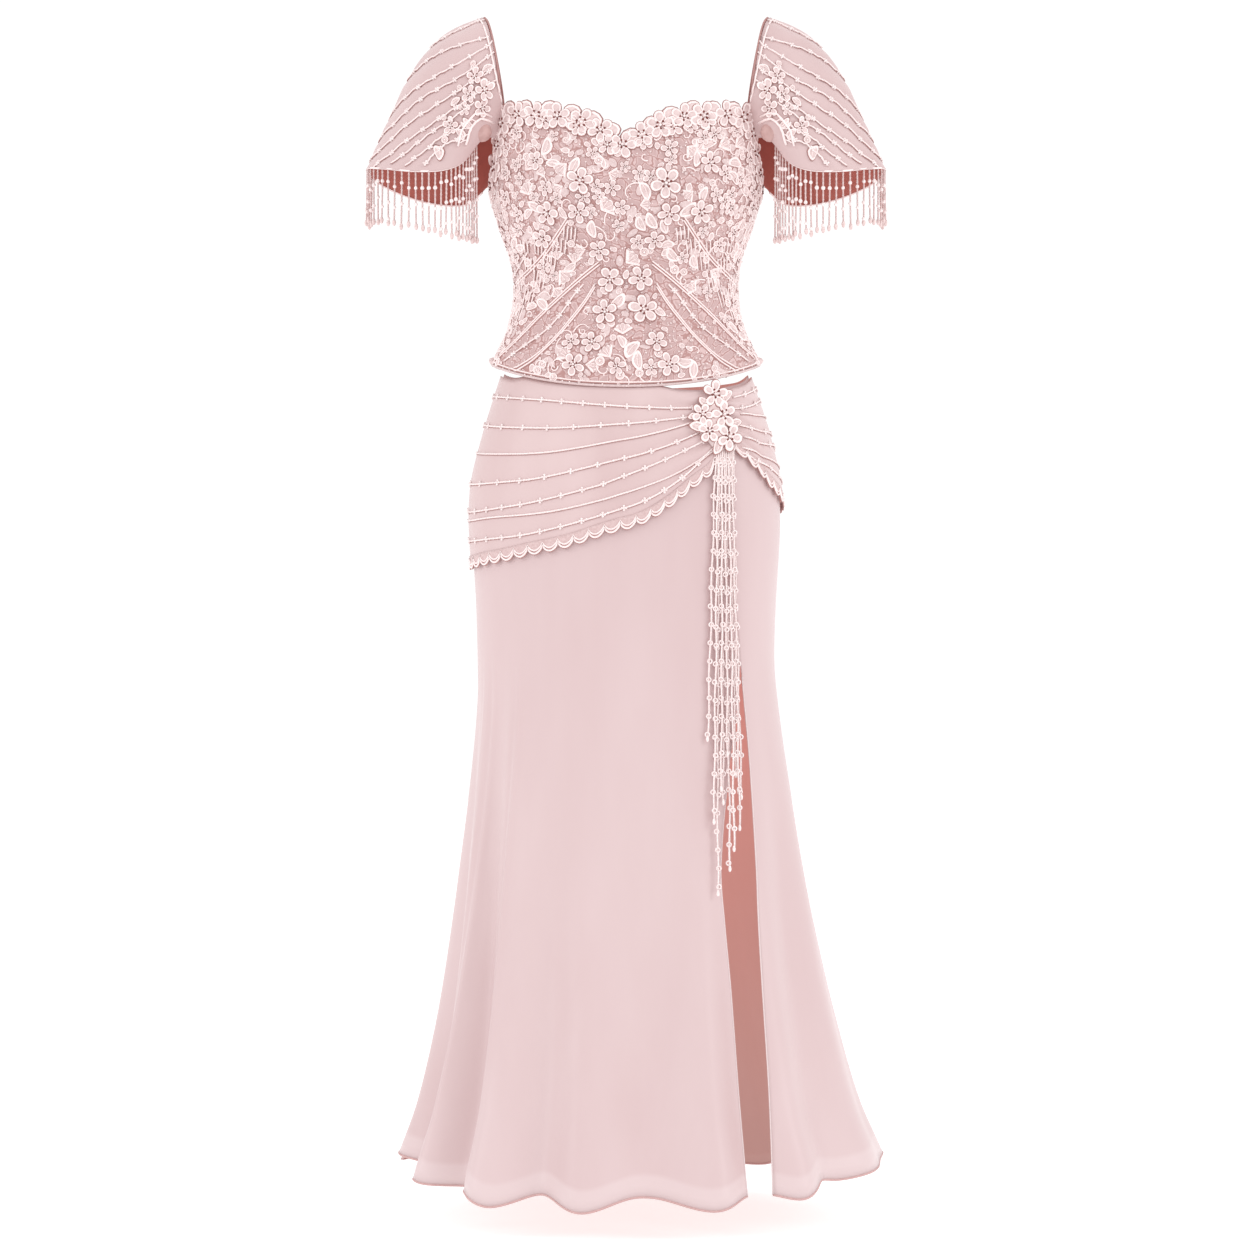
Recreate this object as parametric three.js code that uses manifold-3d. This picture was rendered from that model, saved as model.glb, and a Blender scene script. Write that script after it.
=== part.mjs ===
// A beaded top and a long flared skirt, in millimetres, as worn: +Z up, the front faces -Y.
// The origin is the middle of the waist. Angles run from the front (0) towards +X, in degrees.
import * as THREE from "three";
import { mergeVertices } from "three/addons/utils/BufferGeometryUtils.js";
import Module from "manifold-3d";

const wasm = await Module();
wasm.setup();

// Driving dimensions
const CLOTH = 2; // wall of the skirt, the sleeves and the sash
const BODICE_WALL = 2.5; // boned and fully lined
const SEAM = 0.3; // gap between two pieces that are sewn together
const SASH_CLEARANCE = 1.7; // the sash's coarser facets stay off the skirt
const TRIM_CLEARANCE = 1.2;
const SASH_DROP = 2; // the sash starts this far under the waist edge and the top's hem
const RIM_ROUNDNESS = 2.2; // exponent of the body's sections: 2 is an ellipse
const CORNER_X = 147; // where neckline, armhole and sleeve meet
const CORNER_Z = 319;
const BACK_CORNER_Z = 312;
const UNDERARM_Z = 238;
const ARMHOLE_BEND = 2.2;
const TOP_SIDE_HEM_Z = 18;
const TOP_FRONT_DIP = 31; // the hem is this much lower at the middle of the front
const TOP_BACK_DIP = 10;
const BACK_NECK_DIP = 18;
const CUP = { x: 72, z: 214, out: 16, radius: 46 };
const SKIRT_SIDE_HEM_Z = -932;
const SKIRT_FRONT_DIP = 28;
const SKIRT_BACK_DIP = 38;
const FOLD_DRIFT = 12; // degrees by which a fold turns towards the side, from the hem to its top
const FOLD_GROWTH = 1.15; // exponent of a fold's depth down its length
const HEM_SAG = 0.45; // a crest hangs lower at the hem by this share of how far it stands out
const SLIT_TOP_Z = -336;
const HEM_BEND = 1.55; // how narrowly a hem dips towards the middle of the front and the back

// Sections of the top
const TOP_RINGS = [
  { z: -20, half: 156, front: 106, back: 114 },
  { z: 18, half: 160, front: 107, back: 116 },
  { z: 38, half: 151, front: 101, back: 108 },
  { z: 58, half: 142, front: 96, back: 100 },
  { z: 96, half: 134, front: 93, back: 92 },
  { z: 125, half: 134, front: 95, back: 91 },
  { z: 150, half: 139, front: 102, back: 94 },
  { z: 180, half: 150, front: 112, back: 100 },
  { z: 216, half: 160, front: 118, back: 105 },
  { z: 250, half: 162, front: 118, back: 107 },
  { z: 290, half: 164, front: 114, back: 106 },
  { z: 325, half: 166, front: 108, back: 103 },
];

// Height of the sweetheart neckline, from the middle out to the corner
const NECKLINE = [
  { x: 0, z: 277 },
  { x: 16, z: 289 },
  { x: 41, z: 301 },
  { x: 76, z: 313 },
  { x: 110, z: 318 },
  { x: CORNER_X, z: CORNER_Z },
];

// Sections of the skirt; shift moves the section towards +X
const SKIRT_RINGS = [
  { z: 10, half: 145, front: 98, back: 107, shift: 0 },
  { z: -24, half: 156, front: 104, back: 118, shift: 0 },
  { z: -72, half: 171, front: 111, back: 132, shift: 0 },
  { z: -120, half: 182, front: 116, back: 142, shift: 0 },
  { z: -168, half: 185, front: 119, back: 146, shift: 0 },
  { z: -216, half: 183, front: 121, back: 144, shift: 0 },
  { z: -264, half: 180, front: 122, back: 139, shift: 0 },
  { z: -336, half: 178, front: 125, back: 134, shift: 0 },
  { z: -384, half: 180, front: 129, back: 134, shift: 2 },
  { z: -480, half: 190, front: 140, back: 141, shift: 5 },
  { z: -576, half: 202, front: 153, back: 152, shift: 7 },
  { z: -672, half: 216, front: 169, back: 166, shift: 10 },
  { z: -768, half: 233, front: 188, back: 183, shift: 13 },
  { z: -864, half: 256, front: 210, back: 203, shift: 15 },
  { z: -936, half: 283, front: 229, back: 221, shift: 17 },
  { z: -985, half: 294, front: 240, back: 231, shift: 17 },
];

// Height of the skirt's top edge
const WAISTLINE = [
  { angle: -180, z: -5 },
  { angle: -120, z: 0 },
  { angle: -90, z: 7 },
  { angle: -75, z: 4 },
  { angle: -60, z: 0 },
  { angle: -48, z: 2 },
  { angle: -30, z: -1 },
  { angle: 0, z: -7 },
  { angle: 14, z: -12 },
  { angle: 22, z: -16 },
  { angle: 36, z: -16 },
  { angle: 60, z: -8 },
  { angle: 90, z: 6 },
  { angle: 120, z: 0 },
  { angle: 180, z: -5 },
];

// Folds of the skirt: how far each crest or valley stands out at the hem, and the height it starts from
const FOLDS = [
  { angle: -180, out: -12, from: -440 },
  { angle: -165, out: 15, from: -440 },
  { angle: -150, out: -13, from: -430 },
  { angle: -135, out: 17, from: -420 },
  { angle: -120, out: -14, from: -420 },
  { angle: -105, out: 15, from: -400 },
  { angle: -93, out: -9, from: -380 },
  { angle: -80, out: 13, from: -360 },
  { angle: -69, out: -19, from: -340 },
  { angle: -58, out: 19, from: -320 },
  { angle: -48, out: -34, from: -290 },
  { angle: -38, out: 18, from: -320 },
  { angle: -23, out: -12, from: -420 },
  { angle: -12, out: 16, from: -460 },
  { angle: 3, out: -13, from: -480 },
  { angle: 16, out: 12, from: -480 },
  { angle: 26, out: -14, from: -430 },
  { angle: 38, out: 14, from: -400 },
  { angle: 52, out: -14, from: -400 },
  { angle: 67, out: 12, from: -420 },
  { angle: 80, out: 9, from: -440 },
  { angle: 93, out: 12, from: -440 },
  { angle: 108, out: -13, from: -430 },
  { angle: 123, out: 16, from: -420 },
  { angle: 138, out: -13, from: -430 },
  { angle: 152, out: 15, from: -440 },
  { angle: 166, out: -12, from: -440 },
  { angle: 180, out: -12, from: -440 },
];

// The seam above the slit, and the slit's two edges below it
const SLIT = [
  { z: 10, left: 100, right: 100 },
  { z: -95, left: 112, right: 112 },
  { z: -200, left: 122, right: 122 },
  { z: -300, left: 132, right: 132 },
  { z: SLIT_TOP_Z, left: 135, right: 135 },
  { z: -400, left: 129, right: 141 },
  { z: -459, left: 121, right: 146 },
  { z: -579, left: 111, right: 153 },
  { z: -640, left: 115, right: 155 },
  { z: -717, left: 122, right: 159 },
  { z: -841, left: 131, right: 166 },
  { z: -985, left: 143, right: 170 },
];

// Lower edge of the hip sash, scallops included
const SASH_EDGE = [
  { angle: -180, z: -188 },
  { angle: -135, z: -210 },
  { angle: -90, z: -225 },
  { angle: -54, z: -219 },
  { angle: -34, z: -210 },
  { angle: -19, z: -201 },
  { angle: -7, z: -188 },
  { angle: 4, z: -175 },
  { angle: 13, z: -156 },
  { angle: 22, z: -133 },
  { angle: 29, z: -118 },
  { angle: 36, z: -98 },
  { angle: 45, z: -91 },
  { angle: 56, z: -111 },
  { angle: 67, z: -132 },
  { angle: 90, z: -152 },
  { angle: 135, z: -168 },
  { angle: 180, z: -188 },
];
const SCALLOP = { width: 19, depth: 9 };
const SASH_FOLDS = 6;
const SASH_FOLD_OUT = 4; // at the brooch, where the sash is gathered

// Sleeve on the -X side: the free neck edge from the front corner over the shoulder to the back corner
const NECK_EDGE = [
  { share: 0.2, x: -150, y: -78, z: 345 },
  { share: 0.34, x: -159, y: -50, z: 398 },
  { share: 0.42, x: -166, y: -26, z: 424 },
  { share: 0.5, x: -172, y: 0, z: 434 },
  { share: 0.58, x: -166, y: 26, z: 424 },
  { share: 0.66, x: -159, y: 50, z: 396 },
  { share: 0.79, x: -150, y: 76, z: 342 },
];

// Its hem, from the front armhole round the arm to the back armhole
const SLEEVE_HEM = [
  { share: 0, x: -176, y: -60, z: 288 },
  { share: 0.1, x: -190, y: -73, z: 257 },
  { share: 0.2, x: -214, y: -78, z: 244 },
  { share: 0.3, x: -251, y: -68, z: 243 },
  { share: 0.4, x: -291, y: -40, z: 249 },
  { share: 0.5, x: -311, y: 0, z: 252 },
  { share: 0.6, x: -299, y: 40, z: 239 },
  { share: 0.7, x: -265, y: 64, z: 225 },
  { share: 0.8, x: -228, y: 72, z: 217 },
  { share: 0.9, x: -194, y: 66, z: 217 },
  { share: 1, x: -172, y: 50, z: 232 },
];

// How a sleeve stands out between its neck edge and its hem: puff is the share of SLEEVE_PUFF
const SLEEVE_PROFILE = [
  { along: 0, puff: 0 },
  { along: 0.06, puff: 0.56 },
  { along: 0.14, puff: 0.92 },
  { along: 0.24, puff: 1 },
  { along: 0.4, puff: 0.95 },
  { along: 0.55, puff: 0.72 },
  { along: 0.8, puff: 0.34 },
  { along: 1, puff: 0 },
];
const SLEEVE_PUFF = 35;

// Five-petalled flowers sewn on the front: place as seen from the front, and radius
const FRONT_FLOWERS = [
  { x: -54, z: 226, r: 15 },
  { x: -92, z: 190, r: 14 },
  { x: -56, z: 190, r: 12 },
  { x: -106, z: 252, r: 11 },
  { x: -58, z: 292, r: 12 },
  { x: -96, z: 300, r: 12 },
  { x: -22, z: 268, r: 12 },
  { x: -98, z: 162, r: 12 },
  { x: -32, z: 147, r: 12 },
  { x: -19, z: 113, r: 14 },
  { x: 18, z: 115, r: 14 },
  { x: -25, z: 75, r: 14 },
  { x: 21, z: 78, r: 16 },
  { x: -40, z: 39, r: 12 },
  { x: 36, z: 40, r: 12 },
  { x: -62, z: 13, r: 13 },
  { x: 51, z: 13, r: 13 },
  { x: 47, z: 223, r: 17 },
  { x: 51, z: 188, r: 13 },
  { x: 88, z: 191, r: 14 },
  { x: 99, z: 249, r: 13 },
  { x: 56, z: 291, r: 12 },
  { x: 94, z: 300, r: 12 },
  { x: 22, z: 272, r: 10 },
  { x: 34, z: 158, r: 11 },
];

// Flowers on each half of the back, as angles from the middle of the back
const BACK_FLOWERS = [
  { angle: 14, z: 276, r: 12 },
  { angle: 34, z: 290, r: 12 },
  { angle: 18, z: 236, r: 14 },
  { angle: 38, z: 244, r: 11 },
  { angle: 14, z: 192, r: 13 },
  { angle: 12, z: 140, r: 12 },
  { angle: 14, z: 88, r: 13 },
  { angle: 28, z: 46, r: 12 },
];

// Flowers on a sleeve: share is the way round from the front, along the way down
const SLEEVE_FLOWERS = [
  { share: 0.14, along: 0.3, r: 13 },
  { share: 0.1, along: 0.62, r: 11 },
  { share: 0.16, along: 0.8, r: 10 },
  { share: 0.88, along: 0.35, r: 12 },
];

// Brooch of flowers at the side of the waist, as seen from the front
const BROOCH = [
  { x: 98, z: -22, r: 15 },
  { x: 84, z: -46, r: 12 },
  { x: 108, z: -46, r: 15 },
  { x: 92, z: -66, r: 13 },
  { x: 114, z: -72, r: 15 },
];

// Strands of the tassel: where each leaves the brooch and where it ends, and how far it lies off the skirt
const STRANDS = [
  { top: 102, end: 93, low: -432, out: 5 },
  { top: 104, end: 99, low: -528, out: 7 },
  { top: 106, end: 104, low: -611, out: 5 },
  { top: 108, end: 107, low: -490, out: 8 },
  { top: 109, end: 111, low: -506, out: 5 },
  { top: 111, end: 114, low: -450, out: 8 },
  { top: 113, end: 118, low: -583, out: 6 },
  { top: 115, end: 121, low: -560, out: 9 },
  { top: 117, end: 125, low: -474, out: 6 },
  { top: 119, end: 128, low: -536, out: 8 },
  { top: 121, end: 131, low: -500, out: 6 },
];
const STRAND_TOP_Z = -88;

const FRINGE = { strands: 24, first: 0.1, last: 0.56, bead: 2.3, cord: 0.75, drop: 11 };
const FRINGE_ENDS = [
  { x: -311, z: 184 },
  { x: -176, z: 157 },
];

const COLOURS = { satin: 0xe9cfce, bodice: 0xdfc3c2, lace: 0xf0dedd, bead: 0xf5e9e8 };

// Smooth value of one column of a table, at a given place along its key column.
function valueAt(rows, key, column, at) {
  const rising = rows[rows.length - 1][key] > rows[0][key];
  const ordered = rising ? rows : [...rows].reverse();
  const place = THREE.MathUtils.clamp(at, ordered[0][key], ordered[ordered.length - 1][key]);
  let i = 0;
  while (i < ordered.length - 2 && place > ordered[i + 1][key]) i += 1;
  const slope = (k) => {
    const before = ordered[Math.max(k - 1, 0)];
    const after = ordered[Math.min(k + 1, ordered.length - 1)];
    return (after[column] - before[column]) / (after[key] - before[key]);
  };
  const [a, b] = [ordered[i], ordered[i + 1]];
  const span = b[key] - a[key];
  const t = (place - a[key]) / span;
  const ease = t * t * (3 - 2 * t);
  const lead = t * (1 - t) * (1 - t);
  const tail = t * t * (t - 1);
  return a[column] * (1 - ease) + b[column] * ease + span * (lead * slope(i) + tail * slope(i + 1));
}

// Point of a body section: a rounded oval with its own depth in front and behind.
function ringPoint(rings, angle, z, out = 0) {
  const turn = THREE.MathUtils.degToRad(angle);
  const [s, c] = [Math.sin(turn), Math.cos(turn)];
  const bend = (v) => Math.sign(v) * Math.abs(v) ** (2 / RIM_ROUNDNESS);
  const half = valueAt(rings, "z", "half", z) + out;
  const depth = valueAt(rings, "z", c > 0 ? "front" : "back", z) + out;
  const shift = "shift" in rings[0] ? valueAt(rings, "z", "shift", z) : 0;
  return new THREE.Vector3(shift + half * bend(s), -depth * bend(c), z);
}

// Angle at which a section passes a given x in front.
function angleOfX(rings, x, z) {
  const shift = "shift" in rings[0] ? valueAt(rings, "z", "shift", z) : 0;
  const share = THREE.MathUtils.clamp((x - shift) / valueAt(rings, "z", "half", z), -1, 1);
  const s = Math.sign(share) * Math.abs(share) ** (RIM_ROUNDNESS / 2);
  return THREE.MathUtils.radToDeg(Math.asin(s));
}

function topPoint(angle, z) {
  const p = ringPoint(TOP_RINGS, angle, z);
  if (Math.abs(angle) < 90) {
    for (const side of [-1, 1]) {
      const far = (p.x - side * CUP.x) ** 2 + (z - CUP.z) ** 2;
      p.y -= CUP.out * Math.exp(-far / (2 * CUP.radius ** 2));
    }
  }
  return p;
}

const cornerAngle = angleOfX(TOP_RINGS, CORNER_X, CORNER_Z);

// Armhole: share 0 at the corner of the neckline, 1 under the arm.
function armholeZ(cornerZ, share) {
  return UNDERARM_Z + (cornerZ - UNDERARM_Z) * (1 - share) ** ARMHOLE_BEND;
}

function topEdgeZ(angle) {
  const wide = Math.abs(angle);
  if (wide <= cornerAngle) {
    const x = CORNER_X * Math.sin((wide / cornerAngle) * (Math.PI / 2));
    return valueAt(NECKLINE, "x", "z", x);
  }
  if (wide <= 90) return armholeZ(CORNER_Z, (wide - cornerAngle) / (90 - cornerAngle));
  const behind = 180 - wide;
  if (behind >= cornerAngle) return armholeZ(BACK_CORNER_Z, (behind - cornerAngle) / (90 - cornerAngle));
  return BACK_CORNER_Z - BACK_NECK_DIP * Math.cos(((behind / cornerAngle) * Math.PI) / 2) ** 2;
}

function topHemZ(angle) {
  const c = Math.cos(THREE.MathUtils.degToRad(angle));
  return TOP_SIDE_HEM_Z - (c > 0 ? TOP_FRONT_DIP : TOP_BACK_DIP) * Math.abs(c) ** HEM_BEND;
}

// Folds fade in from their own starting height down to the hem.
function foldOut(angle, z) {
  const from = valueAt(FOLDS, "angle", "from", angle);
  const hem = SKIRT_SIDE_HEM_Z - SKIRT_FRONT_DIP;
  const share = THREE.MathUtils.clamp((from - z) / (from - hem), 0, 1);
  const drift = FOLD_DRIFT * Math.sin(THREE.MathUtils.degToRad(angle)) * (1 - share);
  return valueAt(FOLDS, "angle", "out", angle - drift) * share ** FOLD_GROWTH;
}

function skirtPoint(angle, z) {
  return ringPoint(SKIRT_RINGS, angle, z, foldOut(angle, z));
}

function skirtHemZ(angle) {
  const c = Math.cos(THREE.MathUtils.degToRad(angle));
  const dip = c > 0 ? SKIRT_FRONT_DIP : SKIRT_BACK_DIP;
  return SKIRT_SIDE_HEM_Z - dip * Math.abs(c) ** HEM_BEND - HEM_SAG * valueAt(FOLDS, "angle", "out", angle);
}

// Outward normal of a smooth body surface at an angle and a height.
function normalAt(surface, angle, z) {
  const STEP = 1;
  const across = surface(angle + STEP, z).sub(surface(angle - STEP, z));
  const up = surface(angle, z + STEP).sub(surface(angle, z - STEP));
  return across.cross(up).normalize();
}

// Outward normal at each point of a grid of columns; side is 1 or -1.
function normalsOf(columns, side) {
  const pick = (list, k) => list[THREE.MathUtils.clamp(k, 0, list.length - 1)];
  return columns.map((column, i) =>
    column.map((_, j) => {
      const across = pick(columns, i + 1)[j].clone().sub(pick(columns, i - 1)[j]);
      const down = pick(column, j + 1).clone().sub(pick(column, j - 1));
      return down.cross(across).normalize().multiplyScalar(side);
    }),
  );
}

function moved(columns, normals, distance) {
  const off = (p, i, j) => p.clone().addScaledVector(normals[i][j], distance);
  return columns.map((column, i) => column.map((p, j) => off(p, i, j)));
}

// Closed solid between two grids of points that have the same layout.
function solidBetween(outer, inner) {
  const [wide, high] = [outer.length, outer[0].length];
  const points = [...outer.flat(), ...inner.flat()];
  const at = (layer, i, j) => layer * wide * high + i * high + j;
  const index = [];
  const quad = (a, b, c, d) => index.push(a, b, c, a, c, d);
  for (let i = 0; i < wide - 1; i += 1) {
    for (let j = 0; j < high - 1; j += 1) {
      quad(at(0, i, j), at(0, i, j + 1), at(0, i + 1, j + 1), at(0, i + 1, j));
      quad(at(1, i, j), at(1, i + 1, j), at(1, i + 1, j + 1), at(1, i, j + 1));
    }
  }
  for (let i = 0; i < wide - 1; i += 1) {
    quad(at(0, i, 0), at(0, i + 1, 0), at(1, i + 1, 0), at(1, i, 0));
    quad(at(0, i, high - 1), at(1, i, high - 1), at(1, i + 1, high - 1), at(0, i + 1, high - 1));
  }
  for (let j = 0; j < high - 1; j += 1) {
    quad(at(0, 0, j), at(1, 0, j), at(1, 0, j + 1), at(0, 0, j + 1));
    quad(at(0, wide - 1, j), at(0, wide - 1, j + 1), at(1, wide - 1, j + 1), at(1, wide - 1, j));
  }
  return solidFrom(points, index);
}

// A solid from points and triangles, turned to face out.
function solidFrom(points, index) {
  const geometry = new THREE.BufferGeometry().setFromPoints(points);
  geometry.setIndex(index);
  const merged = mergeVertices(geometry, 1e-3);
  const make = (triVerts) =>
    new wasm.Manifold(
      new wasm.Mesh({ numProp: 3, vertProperties: merged.attributes.position.array, triVerts }),
    );
  const triangles = Uint32Array.from(merged.index.array);
  const solid = make(triangles);
  if (solid.volume() > 0) return solid;
  for (let i = 0; i < triangles.length; i += 3) {
    [triangles[i + 1], triangles[i + 2]] = [triangles[i + 2], triangles[i + 1]];
  }
  return make(triangles);
}

function wall(columns, normals, thickness) {
  return solidBetween(columns, moved(columns, normals, -thickness));
}

// A cloth flower with five petals, sunk a little into the surface that it is sewn to.
function flower(centre, normal, radius, turn) {
  const PETALS = 5;
  const NOTCH = 0.62; // reach of the notch between two petals, as a share of the radius
  const SINK = 1.1;
  const TAPER = 0.94;
  const HEIGHT = 2.6;
  const CENTRE_HEIGHT = 1.4;
  const frame = new THREE.Quaternion().setFromUnitVectors(new THREE.Vector3(0, 0, 1), normal);
  const place = (r, angle, up) =>
    new THREE.Vector3(r * Math.cos(angle), r * Math.sin(angle), up).applyQuaternion(frame).add(centre);
  const outline = (scale, up) => {
    const ring = [];
    for (let k = 0; k < 2 * PETALS; k += 1) {
      const reach = k % 2 ? radius : radius * NOTCH;
      ring.push(place(scale * reach, turn + (k * Math.PI) / PETALS, up));
    }
    return ring;
  };
  const [low, high] = [outline(TAPER, -SINK), outline(1, HEIGHT)];
  const count = low.length;
  const points = [...low, ...high, place(0, 0, -SINK), place(0, 0, CENTRE_HEIGHT)];
  const index = [];
  for (let k = 0; k < count; k += 1) {
    const next = (k + 1) % count;
    index.push(k, next, count + next, k, count + next, count + k);
    index.push(2 * count, next, k, 2 * count + 1, count + k, count + next);
  }
  return solidFrom(points, index);
}

// A strand of three sides: rings of a given radius down a list of places, ending in a point.
function strand(places) {
  const SIDES = 3;
  const points = places.flatMap(({ centre, radius }) =>
    Array.from({ length: SIDES }, (_, k) => {
      const turn = (k * 2 * Math.PI) / SIDES;
      return new THREE.Vector3(radius * Math.cos(turn), radius * Math.sin(turn), 0).add(centre);
    }),
  );
  const index = [];
  for (let j = 0; j < places.length - 1; j += 1) {
    for (let k = 0; k < SIDES; k += 1) {
      const [a, b] = [j * SIDES + k, j * SIDES + ((k + 1) % SIDES)];
      index.push(a, b, b + SIDES, a, b + SIDES, a + SIDES);
    }
  }
  const last = (places.length - 1) * SIDES;
  index.push(0, 2, 1, last, last + 1, last + 2);
  return solidFrom(points, index);
}

function union(solids) {
  return wasm.Manifold.union(solids);
}

function spread(from, to, count) {
  return Array.from({ length: count + 1 }, (_, k) => from + ((to - from) * k) / count);
}

// Turns a solid over to the other side of the body.
function mirrored(solid) {
  return solid.mirror([1, 0, 0]);
}

const set = new THREE.Group();

function add(name, solid, colour) {
  const made = solid.getMesh();
  const geometry = new THREE.BufferGeometry();
  geometry.setAttribute("position", new THREE.BufferAttribute(made.vertProperties, 3));
  geometry.setIndex(new THREE.BufferAttribute(made.triVerts, 1));
  geometry.computeVertexNormals();
  const material = new THREE.MeshStandardMaterial({ color: colour, roughness: 0.6, metalness: 0 });
  const mesh = new THREE.Mesh(geometry, material);
  mesh.name = name;
  set.add(mesh);
}

// Columns of a panel of the top, each from its top edge down to its hem.
function topColumns(angles, rows) {
  return angles.map((angle) => {
    const [high, low] = [topEdgeZ(angle), topHemZ(angle)];
    return spread(0, 1, rows).map((t) => topPoint(angle, high + (low - high) * t));
  });
}

function topNormals(columns, angles) {
  return columns.map((column, i) => column.map((p) => normalAt(topPoint, angles[i], p.z)));
}

// Flower on a panel's own facets, at a fractional column and row; side is 1 or -1.
function flowerOn(columns, i, j, side, radius, turn) {
  const k = Math.min(Math.floor(i), columns.length - 2);
  const m = Math.min(Math.floor(j), columns[0].length - 2);
  const [u, v] = [i - k, j - m];
  const [a, b, c, d] = [columns[k][m], columns[k + 1][m], columns[k][m + 1], columns[k + 1][m + 1]];
  const centre = a.clone().lerp(b, u).lerp(c.clone().lerp(d, u), v);
  const across = b.clone().sub(a).add(d).sub(c);
  const down = c.clone().sub(a).add(d).sub(b);
  const normal = down.cross(across).normalize().multiplyScalar(side);
  return flower(centre, normal, radius, turn);
}

// Fractional place of a value in a rising or falling list.
function placeIn(list, value) {
  const sign = list[list.length - 1] > list[0] ? 1 : -1;
  let k = 0;
  while (k < list.length - 2 && (value - list[k + 1]) * sign > 0) k += 1;
  return k + THREE.MathUtils.clamp((value - list[k]) / (list[k + 1] - list[k]), 0, 1);
}

function topFlowers(columns, angles, flowers, side) {
  return flowers.map(({ angle, z, r }, turn) => {
    const i = placeIn(angles, angle);
    const [high, low] = [topEdgeZ(angle), topHemZ(angle)];
    const rows = columns[0].length - 1;
    const j = THREE.MathUtils.clamp((rows * (high - z)) / (high - low), 0, rows);
    return flowerOn(columns, i, j, side, r, turn);
  });
}

const FRONT_ATTACH = 0.22; // share of the front armhole that the sleeve is sewn to
const BACK_ATTACH = 0.58;
const armAngle = (share) => cornerAngle + (90 - cornerAngle) * share;
const seamAngle = (radius) => THREE.MathUtils.radToDeg(SEAM / 2 / radius);

function buildTop() {
  const ROWS = 9;
  const BACK_ROWS = 8;
  const sideSeam = 90 - seamAngle(150);
  const frontArm = [FRONT_ATTACH, 0.5, 0.75].map(armAngle);
  const middle = spread(-cornerAngle, cornerAngle, 18);
  const frontAngles = [
    -sideSeam, ...frontArm.map((a) => -a).reverse(), ...middle, ...frontArm, sideSeam,
  ];
  const front = topColumns(frontAngles, ROWS);
  const places = FRONT_FLOWERS.map(({ x, z, r }) => ({ angle: angleOfX(TOP_RINGS, x, z), z, r }));
  const sewnInFront = topFlowers(front, frontAngles, places, 1);
  const frontWall = wall(front, topNormals(front, frontAngles), BODICE_WALL);
  add("top_front", union([frontWall, ...sewnInFront]), COLOURS.bodice);

  const backArm = [0.3, BACK_ATTACH].map(armAngle);
  const fromBack = [...spread(seamAngle(110), cornerAngle, 7), ...backArm, 90 - seamAngle(150)];
  const backAngles = fromBack.map((a) => 180 - a);
  const back = topColumns(backAngles, BACK_ROWS);
  const behind = BACK_FLOWERS.map(({ angle, z, r }) => ({ angle: 180 - angle, z, r }));
  const backWall = wall(back, topNormals(back, backAngles), BODICE_WALL);
  const half = union([backWall, ...topFlowers(back, backAngles, behind, -1)]);
  add("top_back_left", half, COLOURS.bodice);
  add("top_back_right", mirrored(half), COLOURS.bodice);
}

// Sleeve edge on the body's side: sewn to the armhole at both ends, free between them.
const sleeveInner = (() => {
  const off = new THREE.Vector3(-0.6, 0, 0.4); // clear of the armhole's own edge
  const sewn = (share, angle, z) => {
    const p = topPoint(-angle, z).add(off);
    return { share, x: p.x, y: p.y, z: p.z };
  };
  return [
    sewn(0, armAngle(FRONT_ATTACH), armholeZ(CORNER_Z, FRONT_ATTACH)),
    sewn(0.1, cornerAngle, CORNER_Z),
    ...NECK_EDGE,
    sewn(0.86, 180 - cornerAngle, BACK_CORNER_Z),
    sewn(0.93, 180 - armAngle(0.3), armholeZ(BACK_CORNER_Z, 0.3)),
    sewn(1, 180 - armAngle(BACK_ATTACH), armholeZ(BACK_CORNER_Z, BACK_ATTACH)),
  ];
})();

function tablePoint(rows, share) {
  return new THREE.Vector3(...["x", "y", "z"].map((k) => valueAt(rows, "share", k, share)));
}

function sleevePoint(share, along) {
  const inner = tablePoint(sleeveInner, share);
  const hem = tablePoint(SLEEVE_HEM, share);
  const round = Math.sin(Math.PI * share);
  const puff = SLEEVE_PUFF * valueAt(SLEEVE_PROFILE, "along", "puff", along) * round;
  const way = Math.PI * (0.5 - share);
  const out = new THREE.Vector3(-puff * Math.cos(way), -puff * 0.6 * Math.sin(way), 0);
  return inner.lerp(hem, along).add(out);
}

const SLEEVE_SHARES = [
  0, 0.05, 0.1, 0.15, 0.2, 0.26, 0.32, 0.38, 0.44, 0.5, 0.56, 0.62, 0.68, 0.74, 0.8, 0.86, 0.93, 1,
];
const SLEEVE_ALONGS = [0, 0.07, 0.16, 0.3, 0.47, 0.64, 0.82, 1];

function buildSleeves() {
  const outer = SLEEVE_SHARES.map((share) => SLEEVE_ALONGS.map((along) => sleevePoint(share, along)));
  const inner = moved(outer, normalsOf(outer, -1), -CLOTH);
  const flowers = SLEEVE_FLOWERS.map(({ share, along, r }, turn) => {
    const [i, j] = [placeIn(SLEEVE_SHARES, share), placeIn(SLEEVE_ALONGS, along)];
    return flowerOn(outer, i, j, -1, r, turn);
  });
  const sleeve = union([solidBetween(outer, inner), ...flowers]);
  add("sleeve_right", sleeve, COLOURS.satin);
  add("sleeve_left", mirrored(sleeve), COLOURS.satin);
  const fringe = sleeveFringe(outer, inner);
  add("fringe_right", fringe, COLOURS.bead);
  add("fringe_left", mirrored(fringe), COLOURS.bead);
}

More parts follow.
